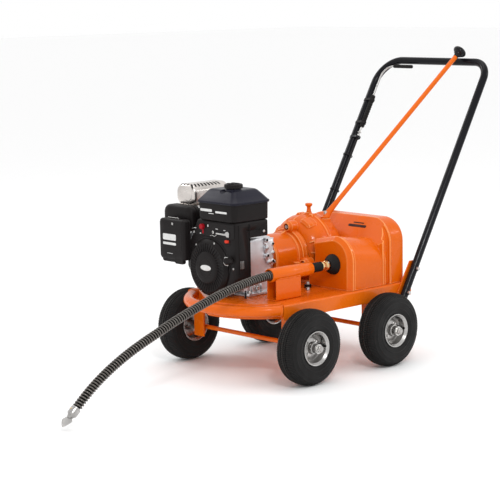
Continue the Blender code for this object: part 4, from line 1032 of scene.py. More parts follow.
def draped_slot(name, target, spot, along, side, way, half, wide, look, body="cart"):
    """A rounded slot laid on another piece's surface, wherever a ray along the way meets it."""
    tree = BVHTree.FromObject(target, bpy.context.evaluated_depsgraph_get())
    rows = []
    for i in range(13):
        a = -half + 2 * half * i / 12
        inner = max(0.0, abs(a) - (half - wide))
        reach = math.sqrt(max(0.0, wide ** 2 - inner ** 2)) + 0.0001
        row = []
        for k in range(7):
            b = -reach + 2 * reach * k / 6
            hit = tree.ray_cast(spot + along * a + side * b, way)[0]
            if hit is None:
                return
            row.append(hit - way * 0.0004)
        rows.append(row)
    bm = bmesh.new()
    grid = [[bm.verts.new(p) for p in row] for row in rows]
    for first, second in zip(grid, grid[1:]):
        for k in range(6):
            bm.faces.new((first[k], first[k + 1], second[k + 1], second[k]))
    piece(name, bm, look, body)


def bars(name, x, radius, places):
    """Plain light bars on a face that looks ahead, in place of lettering."""
    for i, (y0, y1, z0, z1) in enumerate(places):
        outline = round_rect((y0, z0), (y1, z1), min(radius, (z1 - z0) / 2.2), 5)
        slab("%s_%d" % (name, i), [on(x, y, z) for y, z in outline], X, 0.0008, "decal_light", bevel=0)


# ---- engine ---------------------------------------------------------------------------------
BLOCK_FRONT, BLOCK_REAR = -0.232, -0.0955
BLOCK_LEFT, BLOCK_RIGHT = -0.030, 0.165
TILT = math.radians(25)
OUT = Vector((0, math.cos(TILT), math.sin(TILT)))
OVER = Vector((0, -math.sin(TILT), math.cos(TILT)))
BLOCK_MIDDLE = on((BLOCK_FRONT + BLOCK_REAR) / 2, CRANK_Y, CRANK_Z)


def cylinder_ring(along, half, radius, steps=4):
    outline = round_rect((-half, -half), (half, half), radius, steps)
    return [BLOCK_MIDDLE + OUT * along + X * u + OVER * v for u, v in outline]


def add_engine_block():
    foot_top = DECK_TOP + 0.0113
    low, high = (BLOCK_FRONT, BLOCK_LEFT), (BLOCK_REAR, BLOCK_RIGHT)
    levels = [(DECK_TOP + 0.0003, 0.0, 0)] + mm([(330, 0, 0), (400, 0, 0), (470, 0, 0), (476, 3, 0),
                                                 (478, 9, 0)])
    bm = bmesh.new()
    skin_into(bm, section_rings(levels, low, high, 0.016, 6, upright))
    feet = [(DECK_TOP + 0.0003, -0.0005, 0), (foot_top - 0.002, -0.0005, 0), (foot_top, 0.001, 0)]
    foot_low = (BLOCK_FRONT - 0.005, BLOCK_LEFT - 0.015)
    foot_high = (BLOCK_REAR + 0.015, BLOCK_RIGHT + 0.015)
    skin_into(bm, section_rings(feet, foot_low, foot_high, 0.014, 6, upright))
    for x in (-0.205, -0.160, -0.118):
        box_into(bm, on(x - 0.003, BLOCK_LEFT - 0.010, DECK_TOP + 0.006),
                 on(x + 0.003, BLOCK_LEFT + 0.01, 0.312))
    skin_into(bm, [cylinder_ring(0.060, 0.042, 0.010), cylinder_ring(0.1345, 0.042, 0.010)])
    skin_into(bm, [cylinder_ring(0.118, 0.047, 0.012), cylinder_ring(0.128, 0.047, 0.012)])
    body = piece("crankcase", bm, "cast_aluminium", sharp=180, stands_for=["engine_block"])
    cavity = drill(-0.215, -0.09, 0.068, CRANK_AT, X, 40)
    bore = drill(-0.26, -0.20, 0.0185, CRANK_AT, X, 32)
    cast(body, 0.0018, 4)
    combine(body, "DIFFERENCE", [cavity, bore], sharp=60)
    flange = mm([(-138, 473), (-143, 460), (-137, 447), (-142, 432), (-135, 418), (-140, 403),
                 (-133, 388), (-118, 380), (-99, 384), (-97, 473)])
    lobes = mm([(-135, 468), (-133.5, 440), (-131, 412), (-123, 388), (-106, 390), (-105, 420),
                (-106, 452)])
    bm = bmesh.new()
    skin_into(bm, [[on(x, y, z) for x, z in flange] for y in (BLOCK_LEFT + 0.002, BLOCK_LEFT - 0.0060)])
    skin_into(bm, [[on(-0.1190 + (x + 0.1190) * 0.72, BLOCK_LEFT - 0.0095, 0.4280 + (z - 0.4280) * 0.74)
                    for x, z in flange], [on(x, BLOCK_LEFT - 0.004, z) for x, z in flange]])
    for x, z in lobes:
        lug = mm([(0, 0), (0, 8.8), (10.5, 7.8), (12, 6), (12, 0)])
        skin_into(bm, turned_rings(lug, on(x, BLOCK_LEFT, z), -Y, 24))
    cast(piece("side_flange", bm, "cast_aluminium", sharp=180), 0.0011, 3)
    for i, (x, z) in enumerate(lobes):
        if i % 2:
            screw_head("flange_bolt_%d" % i, on(x, BLOCK_LEFT - 0.0118, z), -Y, 0.0054, "zinc")
        else:
            # a thin black disc for an empty bolt hole: painted shade
            pit = mm([(0, 0), (0, 5.2), (0.4, 5.2), (0.5, 0)])
            turned("flange_pit_%d" % i, pit, on(x, BLOCK_LEFT - 0.0118, z), -Y, "painted_shade_black", steps=24)
    for i, (x, y) in enumerate(((-0.220, BLOCK_LEFT - 0.007), (-0.090, BLOCK_LEFT - 0.006),
                                (-0.220, BLOCK_RIGHT + 0.007), (-0.090, BLOCK_RIGHT + 0.006))):
        bolt("engine_bolt_%d" % i, on(x, y, foot_top), Z, 0.0125, "zinc")
    bolt("oil_drain_plug", on(-0.178, BLOCK_LEFT - 0.001, 0.301), -Y, 0.014, "steel")
    dipstick = mm([(0, 0), (0, 12.5), (4, 12.5), (6, 10), (13, 10), (15, 8), (15, 0)])

    def fluted(angle, along, radius):
        return radius - (0.0009 if math.sin(10 * angle) > 0.6 else 0)

    turned("oil_filler_cap", dipstick, on(-0.115, BLOCK_RIGHT + 0.0005, 0.312), Vector((0, 1, 0.25)),
           "black_plastic", steps=40, shape=fluted)


def add_crankcase_cover():
    bm = bmesh.new()

    def scalloped(angle, along, radius):
        return radius - (0.0045 * (0.5 - 0.5 * math.cos(9 * angle)) if radius > 0.086 else 0)

    drum = mm([(-95, 24), (-95, 91.5), (-87, 91.5), (-86.5, 80), (-78, 77), (-71.5, 76.5), (-70.5, 74),
               (-70.5, 24)])
    skin_into(bm, turned_rings(drum, CRANK_AT, X, 144, scalloped), wrap=True)
    for i in range(9):
        y, z = about(CRANK_Y, CRANK_Z, 0.0830, 180 + 40 * i)
        lug = mm([(-90, 0), (-90, 8.8), (-73.5, 8.2), (-71.5, 6.8), (-71.5, 0)])
        skin_into(bm, turned_rings(lug, on(0, y, z), X, 20))
        y, z = about(CRANK_Y, CRANK_Z, 0.0800, 200 + 40 * i)
        rib = mm([(-90, 0), (-90, 3), (-74.5, 2.6), (-74.5, 0)])
        skin_into(bm, turned_rings(rib, on(0, y, z), X, 12))
    cover = piece("side_cover", bm, "cast_aluminium", sharp=180, stands_for=["crankcase_cover"])
    cast(cover, 0.0011, 3)
    for i in range(9):
        y, z = about(CRANK_Y, CRANK_Z, 0.0895, 180 + 40 * i)
        if z > CLEAR_OF_DECK:
            outward = Vector((0, y - CRANK_Y, z - CRANK_Z)).normalized()
            # a thin black disc for a bolt hole: painted shade
            pit = mm([(0, 0), (0, 3), (2.1, 3), (2.2, 1.8), (1.9, 0)])
            turned("cover_pit_%d" % i, pit, on(-0.0800, y, z) + outward * 0.0002, outward, "painted_shade_black",
                   steps=14)


def add_cylinder():
    bm = bmesh.new()
    skin_into(bm, [cylinder_ring(0.1350, 0.037, 0.012), cylinder_ring(0.2140, 0.037, 0.012)])
    for i in range(9):
        fin = shifted([(0, 48.5), (0.9, 50), (2.1, 50), (3, 48.5)], 0.1370 + i * 0.0085)
        skin_into(bm, [cylinder_ring(along, half, 0.012) for along, half in fin])
    skin_into(bm, [cylinder_ring(0.2140, 0.0425, 0.012), cylinder_ring(0.2150, 0.0440, 0.012),
                   cylinder_ring(0.2210, 0.0440, 0.012), cylinder_ring(0.2220, 0.0430, 0.012)])
    for u in (-0.034, -0.017, 0.0, 0.017, 0.034):
        skin_into(bm, [[BLOCK_MIDDLE + OUT * a + X * (u + du) + OVER * v for a, v in
                        ((0.137, 0.036), (0.214, 0.036), (0.214, 0.0495), (0.137, 0.0495))]
                       for du in (-0.0012, 0.0012)])
    piece("finned_barrel", bm, "cast_aluminium", sharp=30, stands_for=["cylinder_head"])
    cover = [cylinder_ring(a, half, 0.014, 6) for a, half in
             mm([(222.4, 40), (223.2, 41), (232, 40.5), (236, 38.5), (238.5, 34.5), (239.5, 28)])]
    skin("valve_cover", cover, "black_paint", sharp=24)
    for i, (u, v) in enumerate(((-0.033, -0.033), (0.033, -0.033), (0.033, 0.033), (-0.033, 0.033))):
        bolt("valve_cover_bolt_%d" % i, BLOCK_MIDDLE + OUT * 0.2375 + X * u + OVER * v, OUT, 0.008, "zinc")
    plug_at = BLOCK_MIDDLE + OUT * 0.214 + OVER * 0.0435 + X * -0.020
    way = (OVER + OUT * 0.25).normalized()
    boot = mm([(0, 0), (0, 6.5), (4, 9), (16, 8.5), (20, 7), (28, 6.6), (30, 5), (30, 0)])
    turned("spark_plug_cap", boot, plug_at, way, "rubber", steps=28)
    top = plug_at + way * 0.028
    lead = [top, top + way * 0.014, top + X * -0.014 + Vector((0, -0.020, 0.012)),
            on(-0.236, 0.150, 0.530), on(-0.2364, 0.120, 0.500)]
    tube("spark_lead", smooth_route(lead, 40), 0.0033, "rubber", sides=12)


def add_shroud():
    front, back = -0.308, -0.2388
    depth = back - front
    outline = mm([(132, 548), (191, 440), (191, 371), (101, 288.5), (36, 284), (-20, 305), (-70, 352),
                  (-70, 548)])
    middle_x = (front + back) / 2
    shell = slab("blower_shroud", [on(middle_x, y, z) for y, z in outline], X, depth, "black_plastic",
                 bevel=0, stands_for=["blower_housing"])
    bevelled(shell, 0.008, 5)
    settle(shell)
    shelf = block("tool", on(back - 0.012, -0.0700, 0.4900), on(-0.155, 0.132, 0.5480), None, None,
                  bevel=0.006)
    settle(shelf)
    combine(shell, "UNION", [shelf])
    room = drill(front + 0.003, back + 0.02, 0.0893, CRANK_AT, X, 64)
    under = box_tool(on(back - 0.001, -0.0655, 0.4700), on(-0.159, 0.1275, 0.5435))
    mouth = drill(front - 0.02, front + 0.02, 0.076, CRANK_AT, X, 64)
    slot = box_tool(on(-0.262, -0.080, 0.5150), on(-0.196, -0.0675, 0.5185))
    combine(shell, "DIFFERENCE", [room, under, mouth, slot])
    side = -0.0703
    # crease and strip lines down the left side
    for name, x, low in (("shroud_rib_front", -0.2955, 0.362), ("shroud_rib_back", -0.2450, 0.346)):
        rib = [on(x, side + 0.001, low), on(x, side - 0.0017, low + 0.004), on(x, side - 0.0017, 0.538),
               on(x, side + 0.001, 0.544)]
        slab(name, rib, X, 0.0028, "black_plastic", bevel=0.0008)
    for i in range(3):
        x = -0.2900 + i * 0.0065
        slab("shroud_louvre_%d" % i, [on(x, side + 0.001, 0.384), on(x, side - 0.0015, 0.387),
                                      on(x, side - 0.0015, 0.412), on(x, side + 0.001, 0.415)],
             X, 0.0020, "zinc", bevel=0.0005)
    screw_head("shroud_screw_side", on(-0.1775, side, 0.5080), -Y, 0.0052, "zinc")
    for i, (y, z) in enumerate(((-0.052, 0.388), (0.150, 0.500), (0.045, 0.2955))):
        screw_head("shroud_screw_%d" % i, on(front - 0.0002, y, z), -X, 0.0045, "zinc")
    # raised edge round the blower's mouth, running up to the panel under the tank
    lip = shifted([(-0.1, 102), (-3, 102.6), (-3.6, 104.5), (-3, 106.6), (-0.1, 107.5)], front)
    arch_rings = []
    for i in range(61):
        angle = -8 + i * 3.2
        arch_rings.append([on(x, *about(CRANK_Y, CRANK_Z, radius, angle)) for x, radius in lip])
    skin("mouth_lip", arch_rings, "black_plastic", sharp=60)
    panel = mm([(120, 541), (146, 498), (128, 491.5), (60, 490.5), (-45, 486), (-60, 494), (-60, 541)])
    slab("control_panel", [on(front - 0.0012, y, z) for y, z in panel], X, 0.0020, "black_plastic",
         bevel=0.0009)


def add_recoil():
    front = -0.3083
    dish = mm([(-321.5, 0), (-321.5, 55), (-318, 88), (-312, 97)])
    dish += [(front, 0.0972), (front, 0.1006)]
    dish += mm([(-311.8, 101), (-314, 100.2), (-316.5, 97.5), (-320.5, 92.5), (-322.8, 88.5),
                (-323.2, 87), (-322.6, 85.2), (-322.2, 84.5), (-322.2, 58.2), (-324.5, 57.5),
                (-325.2, 56), (-326, 54.5), (-327.6, 51.5), (-328, 49), (-328, 33), (-327.2, 31.8),
                (-327.2, 30), (-328, 29), (-328, 0)])
    turned("recoil_cover", dish, CRANK_AT, X, "black_plastic", steps=96, stands_for=["recoil_housing"],
           sharp=30)
    bm = bmesh.new()
    ribs = 40
    for i in range(ribs):
        inner = Vector((0, *about(0, 0, 0.0572, 360 * i / ribs)))
        outer = Vector((0, *about(0, 0, 0.0858, 360 * i / ribs + 5)))
        side = (outer - inner).cross(X).normalized() * 0.0012
        rows = []
        for place, x in ((inner, -0.3256), (outer, -0.3238)):
            base = place + CRANK_AT
            rows.append([base + side + X * (x + 0.0006), base + side * 0.6 + X * x,
                         base - side * 0.6 + X * x, base - side + X * (x + 0.0006),
                         base - side + X * -0.3220, base + side + X * -0.3220])
        skin_into(bm, rows)
    piece("recoil_ribs", bm, "black_plastic", sharp=30)
    rows = [ellipse(CRANK_AT + X * x, Y * 0.0270 * s, Z * 0.0100 * s, 48)
            for x, s in ((-0.3278, 1.0), (-0.3287, 1.0), (-0.3291, 0.96), (-0.3291, 0.02))]
    skin("recoil_badge", rows, "decal_light")
    for i, angle in enumerate((112, 172, 232, 292, 352, 52)):
        y, z = about(CRANK_Y, CRANK_Z, 0.0955, angle)
        if i != 1:
            screw_head("recoil_screw_%d" % i, on(-0.3172, y, z), -X, 0.0042, "zinc")


PULL_AT = on(-0.3290, -0.0380, 0.4120)
PULL_WAY = Vector((-0.10, -0.88, 0.45)).normalized()


def add_starter_grip():
    grip = mm([(0.5, 0), (0.5, 5), (1.5, 6), (6, 6.6), (8.2, 8), (8.8, 15), (9.6, 18), (11.2, 19.2),
               (14, 19.4), (16.6, 18.6), (18.2, 16.5), (19.2, 12), (20, 5), (20, 0)])

    def handle(angle, along, radius):
        wide = 1.0 if radius < 0.010 else 0.62 + 0.38 * abs(math.cos(angle)) ** 1.5
        return radius * wide

    turned("starter_grip", grip, PULL_AT, PULL_WAY, "black_plastic", "starter", steps=56, shape=handle,
           stands_for=["pull_grip"])
    first, second = across(PULL_WAY)
    rows = []
    for i in range(40):
        angle = TAU * i / 40
        out = first * math.cos(angle) + second * math.sin(angle)
        centre = PULL_AT - PULL_WAY * 0.0022 + out * 0.0082
        rows.append(ellipse(centre, out * 0.0017, PULL_WAY * 0.0017, 12))
    skin("rope_eyelet", rows, "zinc", wrap=True)
    bracket = [PULL_AT + Vector(place) for place in
               mm([(3.5, 16.5, 2), (3.5, 12, 17.5), (3.5, -4, 18.5), (3.5, -12, 10), (3.5, -4, -13),
                   (3.5, 12, -12)])]
    slab("rope_guide", [p + X * 0.0012 for p in bracket], X, 0.0026, "zinc", bevel=0.0006)
    start, end = PULL_AT - PULL_WAY * 0.006, PULL_AT + PULL_WAY * 0.0035
    line = [start.lerp(end, i / 30) for i in range(31)]
    rope = tube("starter_rope", line, 0.0022, "rope", None, sides=12)
    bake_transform(rope)


# ---- tank, silencer, air cleaner --------------------------------------------------------------
TANK_LOW, TANK_HIGH = (-0.316, -0.070), (-0.146, 0.121)
CAP_AT = (-0.262, -0.010)


def add_tank():
    low, high = TANK_LOW, TANK_HIGH
    box_levels = mm([(548.6, 30, 0), (548.7, 5, 0), (549.7, 2.2, 0), (552, 0.4, 0), (556, 0, 0),
                     (608.5, -0.8, 0), (609.2, -1.5, 0), (609.2, 30, 0)])
    skin("tank_body", section_rings(box_levels, low, high, 0.020, 8, upright), "black_plastic", sharp=30,
         stands_for=["fuel_tank"])
    lip_levels = mm([(609.4, 20, 0), (609.4, -4.4, 0), (610, -5.6, 0), (611.8, -6.2, 0),
                     (612.8, -5.6, 0), (613.2, -4.5, 0), (613.6, -4.5, 0), (614, -5.6, 0),
                     (615.5, -6.2, 0), (617, -5.8, 0), (618.4, -4.5, 23), (619.6, -2.2, 22.5),
                     (635, 10.5, 19.5), (649, 22.8, 16.5), (652, 25.8, 15.5), (654.5, 29.2, 14.5),
                     (656.2, 33.5, 13.5), (657, 40, 12.5), (657.2, 55, 10)])
    top = skin("tank_top_shell", section_rings(lip_levels, low, high, 0.0235, 8, upright), "tank_top",
               sharp=24)
    scoop_at = on(CAP_AT[0] - 0.052, CAP_AT[1] + 0.030, 0.6610)
    combine(top, "DIFFERENCE", [drill(-0.07, 0.07, 0.019, scoop_at, Vector((1.0, -0.35, 0.10)), 40)])
    neck = mm([(654, 20), (654, 29), (657.5, 28.8), (659, 27), (660.8, 26.2), (660.8, 20)])
    turned("filler_neck", neck, on(*CAP_AT, 0), Z, "tank_top", steps=64, wrap=True)
    base = 0.6614
    cap = shifted([(0, 0), (0, 29), (1.2, 31.2), (3.5, 32.8), (12.5, 32.8), (15, 31.2), (16.3, 28),
                   (15.8, 24), (15, 22.5), (15, 0)], base)

    def knurled(angle, along, radius):
        return radius - (0.0015 * (0.5 + 0.5 * math.cos(22 * angle)) ** 2 if radius > 0.0320 else 0)

    turned("tank_cap", cap, on(*CAP_AT, 0), Z, "black_plastic", "cap", steps=176, shape=knurled, sharp=45,
           stands_for=["fuel_cap"])
    for i, shift in enumerate((-0.0105, 0.0105)):
        grip = [on(CAP_AT[0] + shift, CAP_AT[1] + y, z) for y, z in
                ((-0.0225, base + 0.0140), (-0.0205, base + 0.0182), (-0.0140, base + 0.0192),
                 (0.0140, base + 0.0192), (0.0205, base + 0.0182), (0.0225, base + 0.0140))]
        slab("cap_grip_%d" % i, grip, X, 0.0075, "black_plastic", "cap", bevel=0.0016)
    bars("tank_stripe", TANK_LOW[0] - 0.0007, 0.003,
         ((0.044, 0.104, 0.5800, 0.5890), (0.036, 0.062, 0.5730, 0.5752), (-0.032, 0.026, 0.5775, 0.5845)))


def add_silencer():
    low, high = (0.218, 0.576), (0.318, 0.655)

    def domed(x, y, z):
        """The guard's top is crowned across and along."""
        rise = 0.0 if z < 0.64 else -0.30 * abs((y - 0.268) / 0.05) ** 2 * 0.010
        return on(x, y, z + rise)

    levels = mm([(-244, 36, 3), (-244.6, 26, 12), (-245, 16, 20), (-244.2, 10.5, 24), (-242, 5.8, 26),
                 (-238.5, 2.2, 28), (-234, 0.4, 29), (-230, 0, 30), (-156, 0, 30), (-82, 0, 30),
                 (-77.5, 1, 29), (-72, 4.5, 27), (-68.5, 10, 24), (-67.2, 18, 20), (-67.6, 36, 3)])
    guard = skin("silencer_guard", section_rings(levels, low, high, 0.03, 9, domed), "muffler_steel",
                 sharp=50, stands_for=["muffler"])
    # black patches laid on the guard for its slots: painted shade in the openings
    for i in range(9):
        spot = on(-0.2370 + 0.0155 * i, 0.2375, 0.70)
        draped_slot("guard_slot_%d" % i, guard, spot, Y + X * (0.45 - 0.10 * i), X, -Z, 0.0100, 0.0036,
                    "painted_shade_black")
    for i in range(3):
        spot = on(-0.2350, 0.2580 + 0.0165 * i, 0.70)
        draped_slot("guard_end_slot_%d" % i, guard, spot, X, Y, -Z, 0.0062, 0.0034, "painted_shade_black")
    dimple = mm([(-244.6, 0), (-244.6, 12), (-245.5, 15), (-246.2, 17), (-245.5, 19), (-244, 19.5),
                 (-244, 0)])
    turned("guard_pressing", dimple, on(0, 0.2500, 0.6130), X, "muffler_steel", steps=48)
    lip = mm([(575.2, 10, 0), (575.2, -1.2, 0), (576.6, -2, 0), (578.4, -1.2, 0), (579, 10, 0)])
    skin("guard_rim", section_rings(lip, (-0.243, 0.2205), (-0.069, 0.3155), 0.020, 6, upright),
         "muffler_steel")
    pipe = [on(-0.150, 0.272, 0.5275), on(-0.150, 0.2730, 0.545), on(-0.150, 0.275, 0.5745)]
    tube("exhaust_pipe", smooth_route(pipe, 12), 0.0135, "muffler_steel", sides=32)
    flange = mm([(0, 0), (0, 20), (4, 20), (4.8, 19), (4.8, 0)])
    turned("exhaust_flange", flange, on(-0.150, 0.2721, 0.5290), Z, "steel", steps=40)
    spout = mm([(0, 7.5), (0, 10), (24, 10), (24.8, 9.5), (24.8, 7.8), (10, 7.5)])
    turned("tail_spout", spout, on(-0.100, 0.3130, 0.6030), Vector((0, 0.052, -0.008)), "muffler_steel",
           steps=36, wrap=True)


def add_air_cleaner():
    levels = mm([(-297, 30, 0), (-297, 13.5, 22), (-295.5, 8, 24), (-292.5, 3, 26), (-288.5, 0.4, 28),
                 (-285, 0, 28), (-270, 0, 28), (-269.2, 1.4, 27), (-268, 1.4, 27), (-267.2, 0, 28),
                 (-252, 0, 28), (-249, 2, 26), (-247.2, 7, 24), (-247.2, 30, 0)])
    skin("air_box", section_rings(levels, (0.176, 0.492), (0.330, 0.584), 0.012, 8, on), "black_plastic",
         sharp=28, stands_for=["air_cleaner_base"])
    inlet = [on(-0.2550, 0.215, 0.507), on(-0.2145, 0.215, 0.507)]
    tube("inlet_pipe", [inlet[0].lerp(inlet[1], i / 8) for i in range(9)],
         lambda i: 0.0130 - 0.0012 * (i % 2), "rubber", sides=28)
    carburettor = bmesh.new()
    box_into(carburettor, on(-0.2440, 0.1850, 0.4900), on(-0.2190, 0.1995, 0.5260))
    box_into(carburettor, on(-0.2410, 0.1860, 0.4720), on(-0.2210, 0.1990, 0.4900))
    bevelled(piece("carburettor", carburettor, "cast_aluminium"), 0.002, 2)

    front, back = -0.3400, -0.3085
    low, high = (0.168, 0.394), (0.305, 0.540)
    cover_levels = shifted([(0, 30, 10), (0, 8.5, 12), (0.8, 6, 12.5), (2.4, 3, 13), (5, 0.8, 13),
                            (8, 0, 13)], front)
    cover_levels += shifted([(-10, 0, 13), (-9.5, 1.4, 12), (-8, 1.4, 12), (-7.5, 0, 13), (0, 0, 13),
                             (0, 4, 10)], back)
    cover_levels += shifted([(6, 4, 10), (6, 30, 10)], front)
    skin("filter_cover", section_rings(cover_levels, low, high, 0.013, 8, on), "black_plastic",
         sharp=28, stands_for=["air_cleaner_cover"])
    tab = [on(-0.3380, y, z) for y, z in mm([(182, 381.5), (219.5, 381.5), (221.5, 386), (221.5, 412),
                                             (208, 420), (180, 420), (177.5, 388)])]
    slab("cover_tab", [p + X * 0.0060 for p in tab], X, 0.0150, "black_plastic", bevel=0.0016)
    step = [on(-0.3300, y, z) for y, z in mm([(224, 385), (286, 385), (292, 390), (292, 400),
                                              (224, 400)])]
    slab("cover_step", step, X, 0.0130, "black_plastic", bevel=0.0018)
    edge = [on(front + 0.0010, y, z) for y, z in mm([(185, 529), (188.5, 529), (188.5, 430), (177, 421),
                                                     (177, 424.5), (185, 432)])]
    slab("cover_crease", edge, X, 0.0032, "black_plastic", bevel=0.0006)
    screw_head("cover_screw", on(front + 0.0004, 0.2300, 0.5240), -X, 0.0048, "zinc")
    clip = [on(-0.3250, 0.2700, 0.5392), on(-0.3250, 0.2700, 0.5440), on(-0.3250, 0.2140, 0.5440),
            on(-0.3250, 0.2140, 0.5392)]
    tube("cover_clip", rounded_path(clip, (0.003, 0.003), 5), 0.0012, "zinc", sides=10)
    bars("cover_stripe", front - 0.0002, 0.0035,
         ((0.213, 0.283, 0.4640, 0.4860), (0.213, 0.283, 0.4470, 0.4560), (0.232, 0.262, 0.4160, 0.4172)))


def add_panel_controls():
    knob = mm([(0, 0), (0, 8.5), (1.5, 9.8), (10, 10), (12.2, 9.2), (13.4, 7), (13.4, 0)])

    def fluted(angle, along, radius):
        return radius - (0.0012 if math.sin(8 * angle) > 0.55 and radius > 0.009 else 0)

    turned("choke_knob", knob, on(-0.3087, 0.100, 0.524), -X, "red_plastic", "choke", steps=60,
           shape=fluted, stands_for=["choke_lever"])
    arm = [on(-0.3106, y, z) for y, z in mm([(96.5, 499), (103.5, 499), (104.5, 522), (95.5, 522)])]
    slab("choke_arm", arm, X, 0.0022, "red_plastic", "choke", bevel=0.0006)
    link = [on(-0.3122, 0.132, 0.5150), on(-0.3122, 0.1405, 0.5150), on(-0.3122, 0.1560, 0.5130)]
    tube("choke_rod", smooth_route(link, 12), 0.0017, "zinc", sides=12)
    for i, (y, z, w, h) in enumerate(((0.0735, 0.5285, 0.0022, 0.0040), (0.1130, 0.4985, 0.0030, 0.0018),
                                      (0.0280, 0.5205, 0.0060, 0.0010), (-0.0120, 0.5190, 0.0050, 0.0010))):
        outline = round_rect((y - w, z - h), (y + w, z + h), min(w, h) * 0.8, 4)
        rows = [on(-0.3106, a, b) for a, b in outline]
        slab("panel_mark_%d" % i, rows, X, 0.0006, "decal_light", bevel=0)
    # a thin black plate for the throttle slot: painted shade in the opening
    slot = [on(-0.3105, a, b) for a, b in round_rect((-0.036, 0.5005), (0.034, 0.5090), 0.004, 5)]
    slab("throttle_slot", slot, X, 0.0006, "painted_shade_black", bevel=0)
    quadrant = [on(-0.3125, y, z) for y, z in mm([(30, 503), (-20, 501), (-25, 496.5), (-35.5, 496.5),
                                                  (-37.5, 512), (-30, 516.5), (-20, 513.5),
                                                  (-15, 507.5), (30, 507.8)])]
    slab("throttle_lever", quadrant, X, 0.0022, "zinc", bevel=0.0006)
    screw_head("throttle_screw", on(-0.3112, 0.0455, 0.5080), -X, 0.0056, "zinc")
    link = [on(-0.3125, 0.0600, 0.4945), on(-0.3130, 0.0480, 0.4975), on(-0.3130, 0.0380, 0.4940),
            on(-0.3128, 0.0260, 0.5010)]
    tube("throttle_link", smooth_route(link, 24), 0.0013, "zinc", sides=10)
    rows = section_rings(mm([(-308.6, 0, 2.2), (-315, 0, 2.2), (-316.6, 1, 1.8), (-317, 3, 1)]),
                         (-0.0330, 0.4760), (-0.0170, 0.4860), 0.002, 4, on)
    skin("stop_button", rows, "stop_red", "stop", stands_for=["stop_switch"])
    guard = section_rings(mm([(-308.2, 0, 4), (-310, 0, 4), (-310, 3.2, 2), (-308.2, 3.2, 2)]),
                          (-0.0365, 0.4665), (-0.0135, 0.4895), 0.004, 5, on)
    skin("stop_frame", guard, "black_plastic", wrap=True)


# ---- transmission ---------------------------------------------------------------------------
CASE_Z = 0.393
CASE_AT = on(0, CRANK_Y, CASE_Z)
CASE_RADIUS = 0.125
BREATHER_AT = (0.181, 0.062)
SHIFT_PIVOT = (0.205, 0.0, 0.5085)


def add_bell_housing():
    bm = bmesh.new()
    profile = mm([(-69.5, 70), (-69.5, 91), (-68.2, 92.8), (-60, 92.8), (-58.5, 91.5), (-53, 86.8),
                  (-50, 86.2), (44, 82.6), (47, 84), (49, 87.8), (54.5, 88.4), (56.5, 86.8), (60, 86.6),
                  (62, 94.5), (63.2, 96), (73.5, 96.2), (74.2, 94), (77.2, 94), (78, 96.2), (88, 96.2),
                  (89.8, 94.8), (89.8, 70)])
    skin_into(bm, turned_rings(profile, CRANK_AT, X, 120), wrap=True)
    ears = [(i, *about(CRANK_Y, CRANK_Z, 0.1080, 102 + 90 * i)) for i in range(4)]
    ears = [(i, y, z) for i, y, z in ears if z > CLEAR_OF_DECK]
    for i, y, z in ears:
        ear = mm([(47, 0), (47, 13.5), (48, 15), (56, 19), (59, 21.2), (88.5, 21.5), (89.8, 20),
                  (89.8, 0)])
        skin_into(bm, turned_rings(ear, on(0, y, z), X, 36))
        inward = Vector((0, CRANK_Y - y, CRANK_Z - z)).normalized()
        side = inward.cross(X)
        foot = on(0, y, z) + inward * 0.026
        web = [[foot + X * x + side * s + inward * d for x, d in
                mm([(15, 2), (56, -18), (70, -18), (70, 6), (15, 6)])]
               for s in (-0.0030, 0.0030)]
        skin_into(bm, web)
    bell = piece("bell", bm, "cast_orange", sharp=180, stands_for=["bell_housing"])
    pocket = mm([(30, 0), (30, 12.8), (57, 12.2), (57, 0)])
    pockets = [tool(turned_rings(pocket, on(0, y, z), X, 36)) for i, y, z in ears]
    cast(bell, 0.0015, 4)
    combine(bell, "DIFFERENCE", pockets, sharp=60)
    for i, y, z in ears:
        bolt("bell_bolt_%d" % i, on(0.0568, y, z), -X, 0.0130, "zinc")


def case_profile(inset):
    radius = CASE_RADIUS - inset
    front = [(0.0903 + inset, 0.0)]
    front += shifted([(90.3, -50), (91.2, -43), (94, -35), (100, -26), (106, -19.5)], inset, radius)
    front += shifted([(116, -11.5), (126, -6), (138, -1.8), (148, 0)], 0.0, radius)
    joint = shifted([(169, 0), (171.2, 3.5), (172.2, 5.8), (174.5, 6.2), (179, 6.2), (179.6, 4.5),
                     (180.6, 4.5), (181.2, 6.2), (186.2, 6.2), (187.8, 5), (189.2, 0)], 0.0, radius)
    rear = shifted([(224, -1.5), (237, -6), (243, -11.5)], 0.0, radius)
    rear += shifted([(245.6, -18), (246, -26)], -inset, radius) + [(0.2460 - inset, 0.0)]
    return front + (joint if inset == 0 else []) + rear


